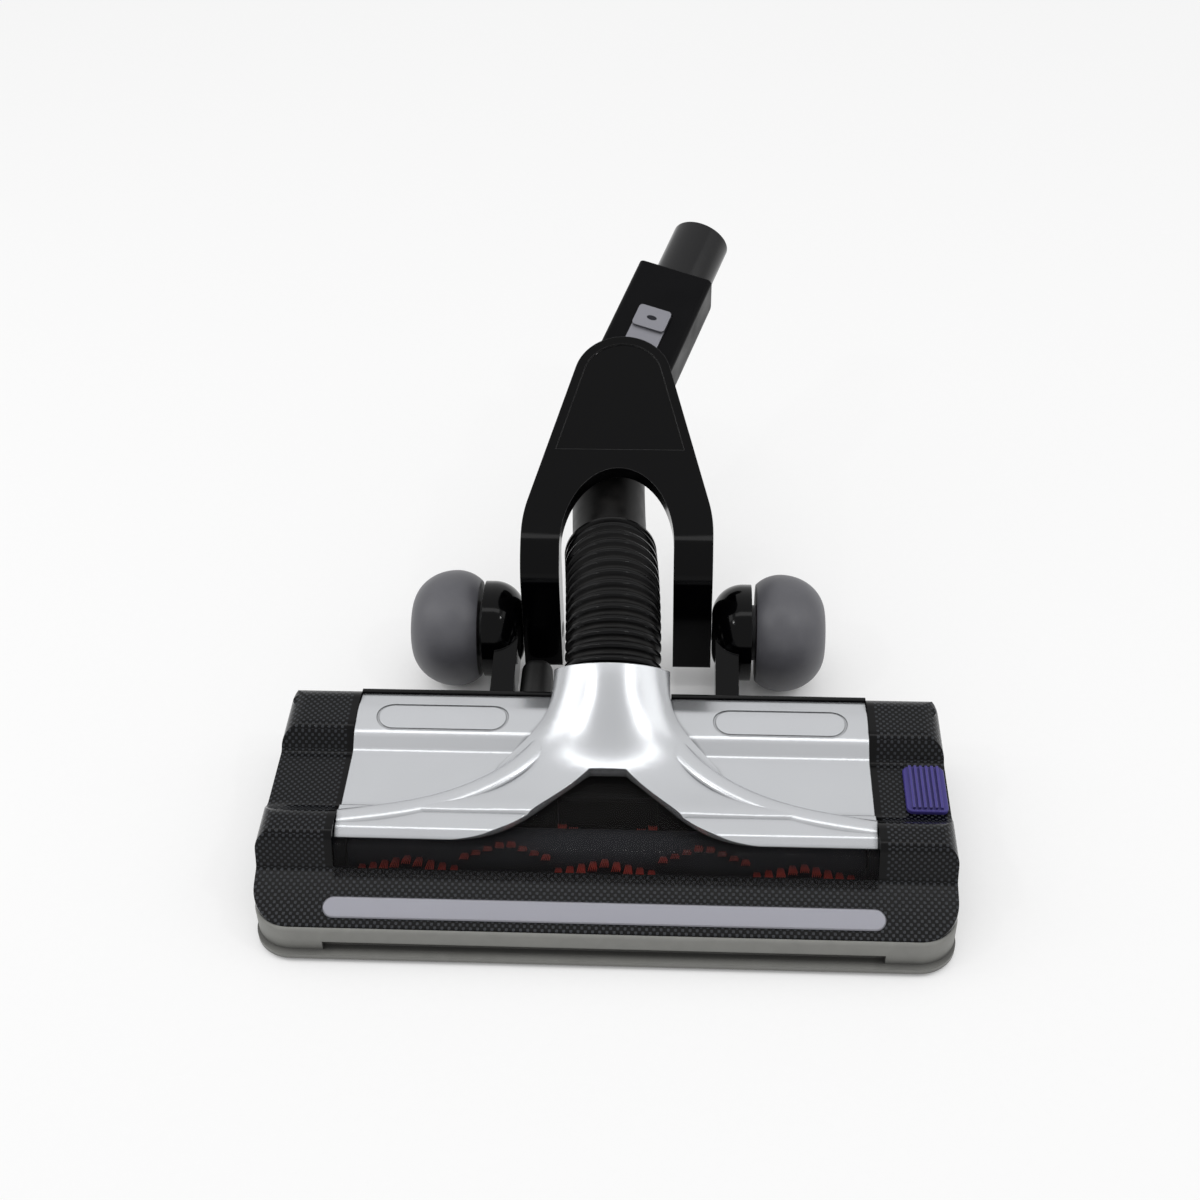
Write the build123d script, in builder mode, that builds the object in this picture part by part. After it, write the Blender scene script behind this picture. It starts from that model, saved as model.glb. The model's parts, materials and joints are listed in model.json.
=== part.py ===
from build123d import *
import math
import os

os.makedirs("parts", exist_ok=True)

# Powered vacuum floor head. +X right, +Y back, +Z up, millimetres.
# The origin lies on the floor under the middle of the overall length.
# Places along Y are given from the middle of the head.

# Overall sizes
head_width = 297.0
head_y = -130.2
head_front = -62.0
head_rear = 60.0
sole_z = 2.0
plate_thickness = 4.0
wall = 2.5
gap = 0.3
running = 0.06
edge_round = 3.0

# Bumper band round the front
bumper_depth = 6.0
bumper_top = 17.0
bumper_return = 24.0
lip_depth = 3.0
lip_height = 2.5
front_corner_radius = 17.0
rear_corner_radius = 8.0
groove_height = 5.0
groove_depth = 3.0
groove_z = 7.0
groove_setback = 30.5

# Side profile of the end caps: fascia, front hump, valley, rear hump
fascia_setback = 1.5
crease_y = -36.0
crease_z = 26.5
front_hump_start = -31.0
front_hump_end = -18.0
front_hump_z = 43.0
valley_start = -7.0
valley_end = 27.0
valley_z = 33.0
rear_hump_start = 33.0
rear_hump_end = 54.0
rear_hump_z = 43.5
rear_edge_z = 40.5
cap_width = 33.5
cap_round = 9.0

# Silver top cover
cover_front = -9.5
cover_panel_z = 37.0
cover_fold = 24.0
cover_hump_start = 31.0
cover_hump_start_z = 42.6
cover_hump_y = 44.0
cover_hump_z = 44.2
cover_rear = 56.5
cover_rear_z = 41.5
rail_low_z = 30.0
rail_top_z = 42.5
rail_round = 2.0
cover_thickness = 2.5
pill_length = 60.0
pill_width = 16.0
pill_setback = 39.0
pill_y = 40.0
pill_line = 1.2
pill_depth = 0.5

# Smoked window over the brush
window_foot_y = -40.2
window_foot_z = 26.1
window_brow_y = -33.0
window_brow_z = 37.0
window_tab_rear = 14.5
window_tab_z = 39.2
window_tab_half = 43.0
window_thickness = 2.0
window_brow_radius = 6.0

# Throat and silver Y fairing
throat_y = 64.0
throat_z = 49.0
throat_angle = 35.0
throat_radius = 25.6
throat_bore = 23.3
throat_depth = 24.0
arm_front = -28.2
arm_rear = -11.5
arm_top_z = 40.6
arm_edge_z = 38.2
fairing_base_z = 33.0
fairing_waist = 26.4
fairing_hip_x = 28.6
fairing_hip_y = 40.0
fairing_bend_x = 47.5
fairing_bend_y = 15.0
arm_setback = 22.0
arm_bevel = 4.0
arm_tail = 6.0
brow_setback = 49.0
brow_bend_x = 38.5
brow_bend_y = -19.8
brow_end_x = 24.0
brow_end_y = -6.6
bell_shoulder = 0.62
fairing_notch_half = 8.0
fairing_notch_y = 9.2

# Front strip
strip_setback = 30.5
strip_width = 9.5
strip_thickness = 1.0
strip_along = 9.0

# Wheels, ears and axle
axle_y = 118.4
wheel_radius = 28.5
wheel_inner = 65.0
wheel_width = 35.5
wheel_crest = 14.0
wheel_rim = 23.6
hub_radius = 13.5
hub_step = 2.0
wheel_dish = 5.0
wheel_dish_radius = 9.5
axle_radius = 4.0
pin_end = 1.0
ear_radius = 23.5
ear_round = 15.0
arm_thickness = 11.0
arm_x = 47.5
arm_root_low = 9.0
arm_root_high = 28.0
foot_thickness = 3.0
foot_width = 13.0
clip_radius = 8.0
clip_thickness = 1.2

# Cable boot beside the left leg
boot_outer = 45.5
boot_inner = 30.5
boot_length = 40.0
boot_low = 9.0
boot_high = 28.0
boot_round = 6.0

# Goose-neck fork
tongue_tilt = 23.0
tongue_y = 130.0
tongue_z = 87.0
tongue_thickness = 9.0
tongue_end = 106.3
tongue_top_half = 18.6
dome_radius = 24.2
leg_inner = 27.0
leg_outer = 45.5
leg_half_depth = 9.0
leg_below_axle = 16.5
leg_end_round = 2.0
shoulder_along = 3.0
shoulder_radius = 70.0
knee_radius = 24.0
knee_inner_radius = 8.0
arch_centre = -12.0
arch_height = 41.5
rim_width = 4.5
rim_depth = 0.8
rim_start = 40.0

# Neck under the tongue
swivel_along = 86.5
swivel_rest = 20.0
neck_gap = 1.0
neck_width = 40.0
neck_block_height = 21.0
neck_low_end = -9.0
neck_high_end = 73.5
neck_bore = 14.0
neck_edge = 3.0
spigot_radius = 15.25
spigot_seat_radius = 15.0
spigot_bore = 13.0
spigot_tip = 111.0
spigot_seat = 48.0
cuff_start = -20.0
cuff_radius = 19.5
cuff_bore = 15.0
pivot_radius = 6.0
pivot_depth = 5.5
washer_radius = 14.0
button_width = 17.4
button_start = 20.0
button_end = 46.0
button_height = 4.0
button_step = 1.4
button_round = 2.0
button_travel = 2.5
pocket_depth = 6.0
contact_radius = 1.1
contact_length = 9.0
contact_spacing = 12.0
contact_depth = 2.6
socket_depth = 7.0
contact_seat = 3.0

# Corrugated hose
hose_radius = 22.2
hose_root_radius = 20.3
hose_smooth_radius = 18.0
hose_bore = 16.0
hose_lead = 34.0
hose_end_tilt = 30.0
hose_pitch = 5.2
hose_ring = 2.0
hose_rings = 14
smooth_steps = 8
bore_steps = 20

# Brush roll and drive
brush_y = -17.0
brush_z = 18.5
brush_end_gap = 1.0
brush_core_radius = 10.2
bristle_radius = 16.5
journal_radius = 4.0
tuft_pitch = 5.0
tuft_width = 3.4
tuft_depth = 2.2
bristle_rows = 2
chevron_length = 42.0
chevron_slope = 1.35
front_apex = 60.0
top_apex = 28.0
bearing_set = 0.5
bearing_thickness = 6.0
bearing_half_width = 9.0
journal_proud = 1.5
pulley_setback = 22.0
pulley_width = 9.0
brush_pulley_radius = 8.0
motor_pulley_radius = 5.0
pulley_flange = 1.6
pulley_flange_width = 1.0
belt_thickness = 1.3
belt_lift = 0.2
motor_y = 40.0
motor_z = 22.0
motor_radius = 12.5
motor_length = 66.0
motor_setback = 16.0
motor_shaft_radius = 2.0
shaft_depth = 10.0
bracket_inset = 4.0
bracket_width = 8.0
mouth_setback = 36.5
mouth_front = -33.5
mouth_rear = -0.5
partition_y = 2.0
partition_top = 33.0
duct_half = 22.0
duct_low = 10.0

# Front rollers
roller_setback = 53.5
roller_y = -46.0
roller_radius = 7.0
roller_width = 12.0
roller_axle_radius = 1.5
lug_thickness = 3.0
lug_half = 4.0

# Latch in the right valley
latch_setback = 19.0
latch_length = 18.0
latch_width = 27.0
latch_y = 9.6
latch_height = 2.0
latch_ribs = 6
latch_rib_height = 1.5
latch_rib_end = 1.0
latch_travel = 4.0
latch_stem = 6.0
latch_stem_depth = 7.0
latch_rib_gap = 4.0
slide_gap = 0.1
leaf_thickness = 0.4
leaf_folds = 5

# Circuit board, screws
board_length = 56.0
board_width = 26.0
board_thickness = 1.6
board_setback = 72.0
board_y = 40.0
board_z = 12.0
board_post_radius = 2.5
capacitor_radius = 4.0
capacitor_height = 10.0
chip_half = 5.0
chip_height = 2.0
post_radius = 3.5
front_post_setback = 14.0
front_post_y = -44.0
rear_post_y = 51.0
front_post_top = 22.0
rear_post_top = 42.0
rear_post_setback = 5.5
screw_radius = 1.4
screw_head_radius = 2.8
screw_head = 1.8
screw_length = 12.0
screw_clearance = 0.2

# Worked-out sizes
half_width = head_width / 2
open_half = half_width - cap_width
plate_top = sole_z + plate_thickness
groove_length = head_width - 2 * groove_setback
strip_length = head_width - 2 * strip_setback
pill_x = open_half - pill_setback
arm_start = open_half - arm_setback
brow_x = open_half - brow_setback
mouth_half = half_width - mouth_setback
brush_half = mouth_half - brush_end_gap
bearing_x = mouth_half + bearing_set
tufts_per_half = int((brush_half - tuft_width / 2) / tuft_pitch)
pulley_x = half_width - pulley_setback
motor_outer = pulley_x - motor_setback
motor_inner = motor_outer - motor_length
roller_x = half_width - roller_setback
latch_x = half_width - latch_setback
latch_rib_x = latch_x - latch_rib_gap
latch_middle = latch_x + latch_length / 2
board_x = half_width - board_setback
post_x = half_width - front_post_setback
rear_post_x = half_width - rear_post_setback
axle_z = wheel_radius
wheel_outer = wheel_inner + wheel_width
slope = math.radians(tongue_tilt)
lean = math.radians(swivel_rest)
screw_spots = [
    (side * x, head_y + y)
    for side in (-1, 1)
    for x, y in ((post_x, front_post_y), (rear_post_x, rear_post_y))
]

head_side = Plane((0, head_y, 0), x_dir=(0, 1, 0), z_dir=(1, 0, 0))
head_top = Plane((0, head_y, 0))
head_front_view = Plane((0, head_y, 0), x_dir=(1, 0, 0), z_dir=(0, -1, 0))

tongue_dir = Vector(0, math.cos(slope), math.sin(slope))
tongue_up = Vector(0, -math.sin(slope), math.cos(slope))
tongue_point = Vector(0, head_y + tongue_y, tongue_z)
tongue_plane = Plane(tongue_point, x_dir=(1, 0, 0), z_dir=tongue_up)

neck_dir = Vector(
    math.sin(lean), math.cos(lean) * math.cos(slope), math.cos(lean) * math.sin(slope)
)
neck_across = tongue_up.cross(neck_dir)
neck_top = tongue_thickness + neck_gap
neck_axis_depth = neck_top + neck_block_height
swivel_point = tongue_point + tongue_dir * swivel_along
neck_origin = swivel_point - tongue_up * neck_axis_depth

throat_tilt = math.radians(throat_angle)
throat_dir = Vector(0, math.cos(throat_tilt), math.sin(throat_tilt))
throat_point = Vector(0, head_y + throat_y, throat_z)
hose_end = neck_origin + neck_dir * cuff_start
hose_end_lift = math.radians(hose_end_tilt)
hose_end_dir = Vector(0, math.cos(hose_end_lift), math.sin(hose_end_lift))


def neck_plane(along):
    """Plane across the neck at a distance along its axis, local y towards the tongue."""
    return Plane(neck_origin + neck_dir * along, x_dir=neck_across, z_dir=neck_dir)


def neck_face_plane(along, height):
    """Plane lying along the neck, at a height above its axis, local y along the neck."""
    origin = neck_origin + neck_dir * along + tongue_up * height
    return Plane(origin, x_dir=neck_across * -1, z_dir=tongue_up)


def throat_plane(along):
    """Plane across the throat at a distance along its axis."""
    return Plane(throat_point + throat_dir * along, x_dir=(1, 0, 0), z_dir=throat_dir)


def outline(points, radii):
    """Edges of a closed outline with a rounding at each corner."""
    with BuildLine() as line:
        FilletPolyline(*points, radius=radii, close=True)
    return line.line.edges()


def plan_outline(inset, front):
    """Plan outline of the head, drawn in by inset and starting at front."""
    side = half_width - inset
    front_round = front_corner_radius - inset
    rear_round = rear_corner_radius - inset
    return outline(
        [(-side, front), (side, front), (side, head_rear - inset), (-side, head_rear - inset)],
        [front_round, front_round, rear_round, rear_round],
    )


def end_outline(inset):
    """Front outline of the head, drawn in by inset, with rounded upper corners."""
    side = half_width - inset
    top = rear_hump_z - inset
    upper = cap_round - inset
    return outline([(-side, 0), (side, 0), (side, top), (-side, top)], [0, 0, upper, upper])


def block(low, high, mode=Mode.ADD):
    """Box between two corners, with Y from the middle of the head."""
    size = [b - a for a, b in zip(low, high)]
    middle = [(a + b) / 2 for a, b in zip(low, high)]
    with Locations((middle[0], head_y + middle[1], middle[2])):
        Box(*size, mode=mode)


def rod(start, end, y, z, radius, mode=Mode.ADD):
    """Cylinder along X from start to end, with Y from the middle of the head."""
    low = min(start, end)
    with Locations(Plane((low, head_y + y, z), x_dir=(0, 1, 0), z_dir=(1, 0, 0))):
        Cylinder(radius, abs(end - start), align=(Align.CENTER, Align.CENTER, Align.MIN), mode=mode)


def save(builder, name):
    """Label a finished piece and write it to its file."""
    builder.part.label = name
    export_step(builder.part, f"parts/{name}.step")


# Upper housing: end caps, fascia and rear wall in one moulding, open below and in the middle
cap_points = [
    (head_front + bumper_depth, plate_top),
    (head_front + bumper_depth, bumper_top),
    (head_front + fascia_setback, bumper_top),
    (crease_y, crease_z),
    (front_hump_start, front_hump_z),
    (front_hump_end, front_hump_z),
    (valley_start, valley_z),
    (valley_end, valley_z),
    (rear_hump_start, rear_hump_z),
    (rear_hump_end, rear_hump_z),
    (head_rear, rear_edge_z),
    (head_rear, plate_top),
]
cap_radii = [0, 0, 0, 3, 5, 9, 8, 3.5, 6, 8, 5, 0]

with BuildPart() as housing_hollow:
    with BuildSketch(head_side):
        make_face(outline(cap_points, cap_radii))
        offset(amount=-wall)
    extrude(amount=half_width, both=True)
    block(
        (-half_width, head_front + bumper_depth + wall, 0),
        (half_width, head_rear - wall, bumper_top),
    )
    with BuildSketch(head_top):
        make_face(plan_outline(wall, head_front + fascia_setback + wall))
    extrude(amount=2 * front_hump_z, mode=Mode.INTERSECT)
    with BuildSketch(head_front_view):
        make_face(end_outline(wall))
    extrude(amount=head_width, both=True, mode=Mode.INTERSECT)

with BuildPart() as bumper_hollow:
    with BuildSketch(head_top):
        make_face(plan_outline(bumper_depth, head_front + bumper_depth))
    extrude(amount=bumper_top)

with BuildPart() as bumper:
    with BuildSketch(head_top.offset(sole_z)):
        make_face(plan_outline(0, head_front))
    extrude(amount=bumper_top - sole_z)
    fillet(bumper.edges().group_by(Axis.Z)[-1], fascia_setback)
    with BuildSketch(head_top.offset(sole_z)):
        make_face(plan_outline(0, head_front - lip_depth))
    extrude(amount=lip_height)
    add(bumper_hollow.part, mode=Mode.SUBTRACT)
    block(
        (-half_width, head_front + bumper_return, 0),
        (half_width, head_rear, bumper_top),
        mode=Mode.SUBTRACT,
    )
    block(
        (-groove_length / 2, head_front, groove_z - groove_height / 2),
        (groove_length / 2, head_front + groove_depth, groove_z + groove_height / 2),
        mode=Mode.SUBTRACT,
    )
save(bumper, "bumper")

with BuildPart() as bumper_room:
    block((-half_width, head_front, 0), (half_width, head_front + bumper_return + gap, bumper_top))
    add(bumper_hollow.part, mode=Mode.SUBTRACT)

with BuildPart() as throat_room:
    with BuildSketch(throat_plane(-2 * throat_depth)):
        Circle(throat_radius + gap)
    extrude(amount=3 * throat_depth)

rail_points = [
    (cover_rear + gap, rail_low_z),
    (head_rear, rail_low_z),
    (head_rear, rail_top_z),
    (cover_rear + gap, rail_top_z),
]

with BuildPart() as upper_housing:
    with BuildSketch(head_side):
        make_face(outline(cap_points, cap_radii))
    extrude(amount=half_width, both=True)
    with BuildSketch(head_top):
        make_face(plan_outline(0, head_front + fascia_setback))
    extrude(amount=2 * front_hump_z, mode=Mode.INTERSECT)
    with BuildSketch(head_front_view):
        make_face(end_outline(0))
    extrude(amount=head_width, both=True, mode=Mode.INTERSECT)
    add(housing_hollow.part, mode=Mode.SUBTRACT)
    block(
        (-open_half - gap, crease_y, plate_top),
        (open_half + gap, head_rear - wall, 2 * front_hump_z),
        mode=Mode.SUBTRACT,
    )
    with BuildSketch(head_side):
        make_face(outline(rail_points, [0, 0, rail_round, 0]))
    extrude(amount=open_half + gap, both=True)
    block(
        (-fairing_waist - 2 * gap, cover_rear, fairing_base_z - gap),
        (fairing_waist + 2 * gap, head_rear, rail_top_z),
        mode=Mode.SUBTRACT,
    )
    add(bumper_room.part, mode=Mode.SUBTRACT)
    add(throat_room.part, mode=Mode.SUBTRACT)
    for x, y in screw_spots:
        post_top = front_post_top if y < head_y else rear_post_top
        with Locations((x, y, plate_top)):
            Cylinder(post_radius, post_top - plate_top, align=(Align.CENTER, Align.CENTER, Align.MIN))
            Cylinder(
                screw_radius,
                screw_head + screw_length - plate_thickness,
                align=(Align.CENTER, Align.CENTER, Align.MIN),
                mode=Mode.SUBTRACT,
            )
    block(
        (latch_rib_x - wall, latch_y - latch_stem, valley_z - latch_stem_depth),
        (latch_rib_x, latch_y + latch_stem, valley_z - wall / 2),
    )
    slot_half = latch_stem / 2 + gap
    block(
        (latch_middle - slot_half - latch_travel, latch_y - slot_half, valley_z - 2 * wall),
        (latch_middle + slot_half, latch_y + slot_half, valley_z + wall),
        mode=Mode.SUBTRACT,
    )
save(upper_housing, "upper_housing")

# Base plate: sole with brush mouth, partition with the air duct, roller lugs, board posts, screw holes
with BuildPart() as base_plate:
    with BuildSketch(head_top.offset(sole_z)):
        make_face(plan_outline(0, head_front + bumper_depth))
    extrude(amount=plate_thickness)
    add(bumper_room.part, mode=Mode.SUBTRACT)
    block(
        (-mouth_half, partition_y, plate_top),
        (mouth_half, partition_y + wall, partition_top),
    )
    block(
        (-duct_half, partition_y, duct_low),
        (duct_half, partition_y + wall, partition_top - wall),
        mode=Mode.SUBTRACT,
    )
    block((-mouth_half, mouth_front, 0), (mouth_half, mouth_rear, plate_top), mode=Mode.SUBTRACT)
    for side in (-1, 1):
        well_half = roller_width / 2 + gap
        block(
            (side * roller_x - well_half - lug_thickness, roller_y - lug_half, sole_z),
            (side * roller_x + well_half + lug_thickness, roller_y + lug_half, roller_radius + lug_half),
        )
        block(
            (side * roller_x - well_half, roller_y - roller_radius - wall / 2, 0),
            (side * roller_x + well_half, roller_y + roller_radius + wall / 2, 2 * roller_radius),
            mode=Mode.SUBTRACT,
        )
        rod(
            side * roller_x - well_half - lug_thickness,
            side * roller_x + well_half + lug_thickness,
            roller_y,
            roller_radius,
            roller_axle_radius,
            mode=Mode.SUBTRACT,
        )
    with Locations((board_x, head_y + board_y, plate_top)):
        with GridLocations(board_length - 4 * board_post_radius, board_width - 4 * board_post_radius, 2, 2):
            Cylinder(board_post_radius, board_z - plate_top, align=(Align.CENTER, Align.CENTER, Align.MIN))
    with Locations(*[(x, y, 0) for x, y in screw_spots]):
        Cylinder(screw_radius + screw_clearance, 2 * plate_top, mode=Mode.SUBTRACT)
        Cylinder(
            screw_head_radius + screw_clearance,
            sole_z + screw_head,
            align=(Align.CENTER, Align.CENTER, Align.MIN),
            mode=Mode.SUBTRACT,
        )
save(base_plate, "base_plate")

# Silver top cover: flat panel and rear hump, notched for the window and the throat
cover_path = [
    (cover_front, cover_panel_z),
    (cover_fold, cover_panel_z),
    (cover_hump_start, cover_hump_start_z),
    (cover_hump_y, cover_hump_z),
    (cover_rear, cover_rear_z),
]
cover_fill = cover_path + [(cover_rear, 0), (cover_front, 0)]
cover_radii = [0, 5, 8, 20, 0, 0, 0]

with BuildPart() as cover_bulk:
    with BuildSketch(head_side):
        make_face(outline(cover_fill, cover_radii))
    extrude(amount=open_half, both=True)

with BuildPart() as pill_groove:
    with BuildSketch(head_top.offset(cover_panel_z)):
        with Locations((-pill_x, pill_y), (pill_x, pill_y)):
            SlotOverall(pill_length, pill_width)
            SlotOverall(pill_length - 2 * pill_line, pill_width - 2 * pill_line, mode=Mode.SUBTRACT)
    extrude(amount=cover_panel_z)
    with Locations((0, 0, -pill_depth)):
        add(cover_bulk.part, mode=Mode.SUBTRACT)

with BuildPart() as top_cover:
    add(cover_bulk.part)
    with Locations((0, 0, -cover_thickness)):
        add(cover_bulk.part, mode=Mode.SUBTRACT)
    block(
        (-window_tab_half - gap, cover_front, 0),
        (window_tab_half + gap, window_tab_rear + gap, cover_hump_z),
        mode=Mode.SUBTRACT,
    )
    add(throat_room.part, mode=Mode.SUBTRACT)
    add(pill_groove.part, mode=Mode.SUBTRACT)
save(top_cover, "top_cover")

# Smoked window: steep front over the brush and a tab that reaches back under the fairing
window_fill = [
    (window_foot_y, window_foot_z),
    (window_brow_y, window_brow_z),
    (window_tab_rear, window_tab_z),
    (window_tab_rear, 0),
    (window_foot_y, 0),
]
window_radii = [0, window_brow_radius, 0, 0, 0]

with BuildPart() as window_bulk:
    with BuildSketch(head_side):
        make_face(outline(window_fill, window_radii))
    extrude(amount=open_half, both=True)

with BuildPart() as window:
    with BuildSketch(head_side):
        make_face(outline(window_fill, window_radii))
        offset(amount=-window_thickness, mode=Mode.SUBTRACT)
    extrude(amount=open_half, both=True)
    block((-open_half, window_foot_y, 0), (open_half, window_tab_rear, window_foot_z), mode=Mode.SUBTRACT)
    block(
        (-open_half, window_tab_rear - window_thickness, 0),
        (open_half, window_tab_rear, window_tab_z - window_thickness),
        mode=Mode.SUBTRACT,
    )
    for side in (-1, 1):
        block(
            (min(side * window_tab_half, side * open_half), cover_front - gap, 0),
            (max(side * window_tab_half, side * open_half), window_tab_rear, window_tab_z),
            mode=Mode.SUBTRACT,
        )
save(window, "window")

# Y-shaped fairing: a round throat whose sides sweep out into two low arms.
# Each station of the bell holds: place along Y, half width, edge height, top height, shoulder share.
bell_stations = [
    (throat_y, 27.4, 44.0, 76.5, 0.80),
    (45.0, 29.8, 45.5, 67.5, 0.66),
    (30.0, 36.5, 43.4, 57.0, 0.50),
    (15.0, 50.0, 39.6, 46.8, 0.46),
    (2.0, 66.0, 38.8, 42.4, 0.50),
    (arm_rear - arm_bevel, 104.0, 40.3, arm_top_z, 0.50),
]
arm_points = [
    (arm_front, fairing_base_z),
    (arm_front, arm_edge_z),
    (arm_front + arm_bevel, arm_top_z),
    (arm_rear - arm_bevel, arm_top_z),
    (arm_rear + arm_tail, arm_edge_z),
    (arm_rear + arm_tail, fairing_base_z),
]
arm_radii = [0, 1.5, 4, 6, 0, 0]

with BuildPart() as throat_fairing:
    for station_y, half, edge, top, share in bell_stations:
        shoulder = edge + share * (top - edge)
        with BuildSketch(Plane.XZ.offset(-head_y - station_y)):
            with BuildLine():
                Spline(
                    (-half, edge),
                    (-half * bell_shoulder, shoulder),
                    (0, top),
                    (half * bell_shoulder, shoulder),
                    (half, edge),
                )
                Polyline((half, edge), (half, fairing_base_z), (-half, fairing_base_z), (-half, edge))
            make_face()
    loft()
    with BuildSketch(head_side):
        make_face(outline(arm_points, arm_radii))
    extrude(amount=open_half, both=True)
    with BuildSketch(head_top):
        with BuildLine() as fairing_plan:
            Line((0, throat_y + throat_depth), (fairing_waist, throat_y + throat_depth))
            Line((fairing_waist, throat_y + throat_depth), (fairing_waist, throat_y))
            Spline(
                (fairing_waist, throat_y),
                (fairing_hip_x, fairing_hip_y),
                (fairing_bend_x, fairing_bend_y),
                (arm_start, arm_rear),
                tangents=((0, -1), (1, 0)),
            )
            Polyline(
                (arm_start, arm_rear),
                (open_half, arm_rear),
                (open_half, arm_front),
                (brow_x, arm_front),
            )
            Spline(
                (brow_x, arm_front),
                (brow_bend_x, brow_bend_y),
                (brow_end_x, brow_end_y),
                tangents=((-1, 0), (-1, 1)),
            )
            Polyline((brow_end_x, brow_end_y), (fairing_notch_half, fairing_notch_y), (0, fairing_notch_y))
            mirror(about=Plane.YZ)
        make_face()
    extrude(amount=2 * throat_z, mode=Mode.INTERSECT)
    with BuildSketch(throat_plane(-throat_depth)):
        Circle(throat_radius)
    extrude(amount=throat_depth)
    with BuildSketch(throat_plane(0)):
        Rectangle(4 * throat_radius, 4 * throat_radius)
    extrude(amount=throat_depth, mode=Mode.SUBTRACT)
    with BuildSketch(throat_plane(-2 * throat_depth)):
        Circle(throat_bore)
    extrude(amount=3 * throat_depth, mode=Mode.SUBTRACT)
    add(cover_bulk.part, mode=Mode.SUBTRACT)
    add(window_bulk.part, mode=Mode.SUBTRACT)
save(throat_fairing, "throat_fairing")

# Cable boot that carries the wires from the left leg of the fork into the head
with BuildPart() as cable_boot:
    block(
        (-boot_outer, head_rear, boot_low),
        (-boot_inner, head_rear + boot_length, boot_high),
    )
    fillet(cable_boot.edges().filter_by(Axis.Y).group_by(Axis.Z)[-1], boot_round)
    fillet(cable_boot.faces().sort_by(Axis.Y)[-1].edges().sort_by(Axis.Z)[-1], boot_round)
save(cable_boot, "cable_boot")

# Front strip on the fascia
fascia_run = crease_y - head_front - fascia_setback
fascia_rise = crease_z - bumper_top
fascia_angle = math.atan2(fascia_rise, fascia_run)
fascia_dir = Vector(0, math.cos(fascia_angle), math.sin(fascia_angle))
fascia_foot = Vector(0, head_y + head_front + fascia_setback, bumper_top)
fascia_up = Vector(0, -math.sin(fascia_angle), math.cos(fascia_angle))

with BuildPart() as front_strip:
    with BuildSketch(Plane(fascia_foot + fascia_dir * strip_along, x_dir=(1, 0, 0), z_dir=fascia_up)):
        SlotOverall(strip_length, strip_width)
    extrude(amount=strip_thickness)
    chamfer(front_strip.faces().sort_by(Axis((0, 0, 0), fascia_up))[-1].edges(), strip_thickness / 2)
save(front_strip, "front_strip")

# Hose collar inside the throat
with BuildPart() as hose_collar:
    with BuildSketch(throat_plane(-throat_depth)):
        Circle(throat_bore)
        Circle(hose_bore, mode=Mode.SUBTRACT)
    extrude(amount=throat_depth)
save(hose_collar, "hose_collar")

# Rear wheels with their arms, axle pins and clips, one set on each side
ear_outer = wheel_inner - gap
ear_inner = leg_outer + gap

for name, side in (("left", -1), ("right", 1)):

    with BuildPart() as axle_arm:
        rod(side * ear_inner, side * ear_outer, axle_y, axle_z, ear_radius)
        fillet(axle_arm.edges().sort_by(Axis.X)[0 if side > 0 else -1], ear_round)
        with BuildSketch(head_side.offset(side * arm_x)):
            with Locations((axle_y, axle_z)):
                Circle((arm_root_high - arm_root_low) / 2)
            with Locations((head_rear + foot_thickness / 2, (arm_root_high + arm_root_low) / 2)):
                Rectangle(foot_thickness, arm_root_high - arm_root_low)
            make_hull()
        extrude(amount=side * arm_thickness)
        foot_middle = side * (arm_x + arm_thickness / 2)
        block(
            (foot_middle - foot_width / 2, head_rear, arm_root_low),
            (foot_middle + foot_width / 2, head_rear + foot_thickness, arm_root_high),
        )
        rod(side * ear_inner, side * ear_outer, axle_y, axle_z, axle_radius, mode=Mode.SUBTRACT)
    save(axle_arm, f"{name}_axle_arm")

    with BuildPart() as axle_pin:
        rod(
            side * (leg_inner + pin_end),
            side * (wheel_outer - wheel_dish + clip_thickness + pin_end),
            axle_y,
            axle_z,
            axle_radius,
        )
    save(axle_pin, f"{name}_axle_pin")

    with BuildPart() as axle_clip:
        clip_start = wheel_outer - wheel_dish + gap
        rod(side * clip_start, side * (clip_start + clip_thickness), axle_y, axle_z, clip_radius)
        rod(
            side * clip_start,
            side * (clip_start + clip_thickness),
            axle_y,
            axle_z,
            axle_radius,
            mode=Mode.SUBTRACT,
        )
    save(axle_clip, f"{name}_axle_clip")

    with BuildPart() as wheel:
        with BuildSketch(Plane((0, head_y + axle_y, axle_z), x_dir=(side, 0, 0), z_dir=(0, -side, 0))):
            with BuildLine():
                crest = wheel_inner + wheel_crest
                Polyline(
                    (wheel_inner, axle_radius + running),
                    (wheel_inner, hub_radius),
                    (wheel_inner + hub_step, hub_radius),
                    (wheel_inner + hub_step, wheel_rim),
                )
                TangentArc((crest, wheel_radius), (wheel_inner + hub_step, wheel_rim), tangent=(-1, 0))
                EllipticalCenterArc(
                    (crest, wheel_dish_radius),
                    wheel_outer - crest,
                    wheel_radius - wheel_dish_radius,
                    arc_size=90,
                )
                Polyline(
                    (wheel_outer, wheel_dish_radius),
                    (wheel_outer - wheel_dish, wheel_dish_radius),
                    (wheel_outer - wheel_dish, axle_radius + running),
                    (wheel_inner, axle_radius + running),
                )
            make_face()
        revolve(axis=Axis((0, head_y + axle_y, axle_z), (1, 0, 0)))
    save(wheel, f"{name}_wheel")

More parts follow.
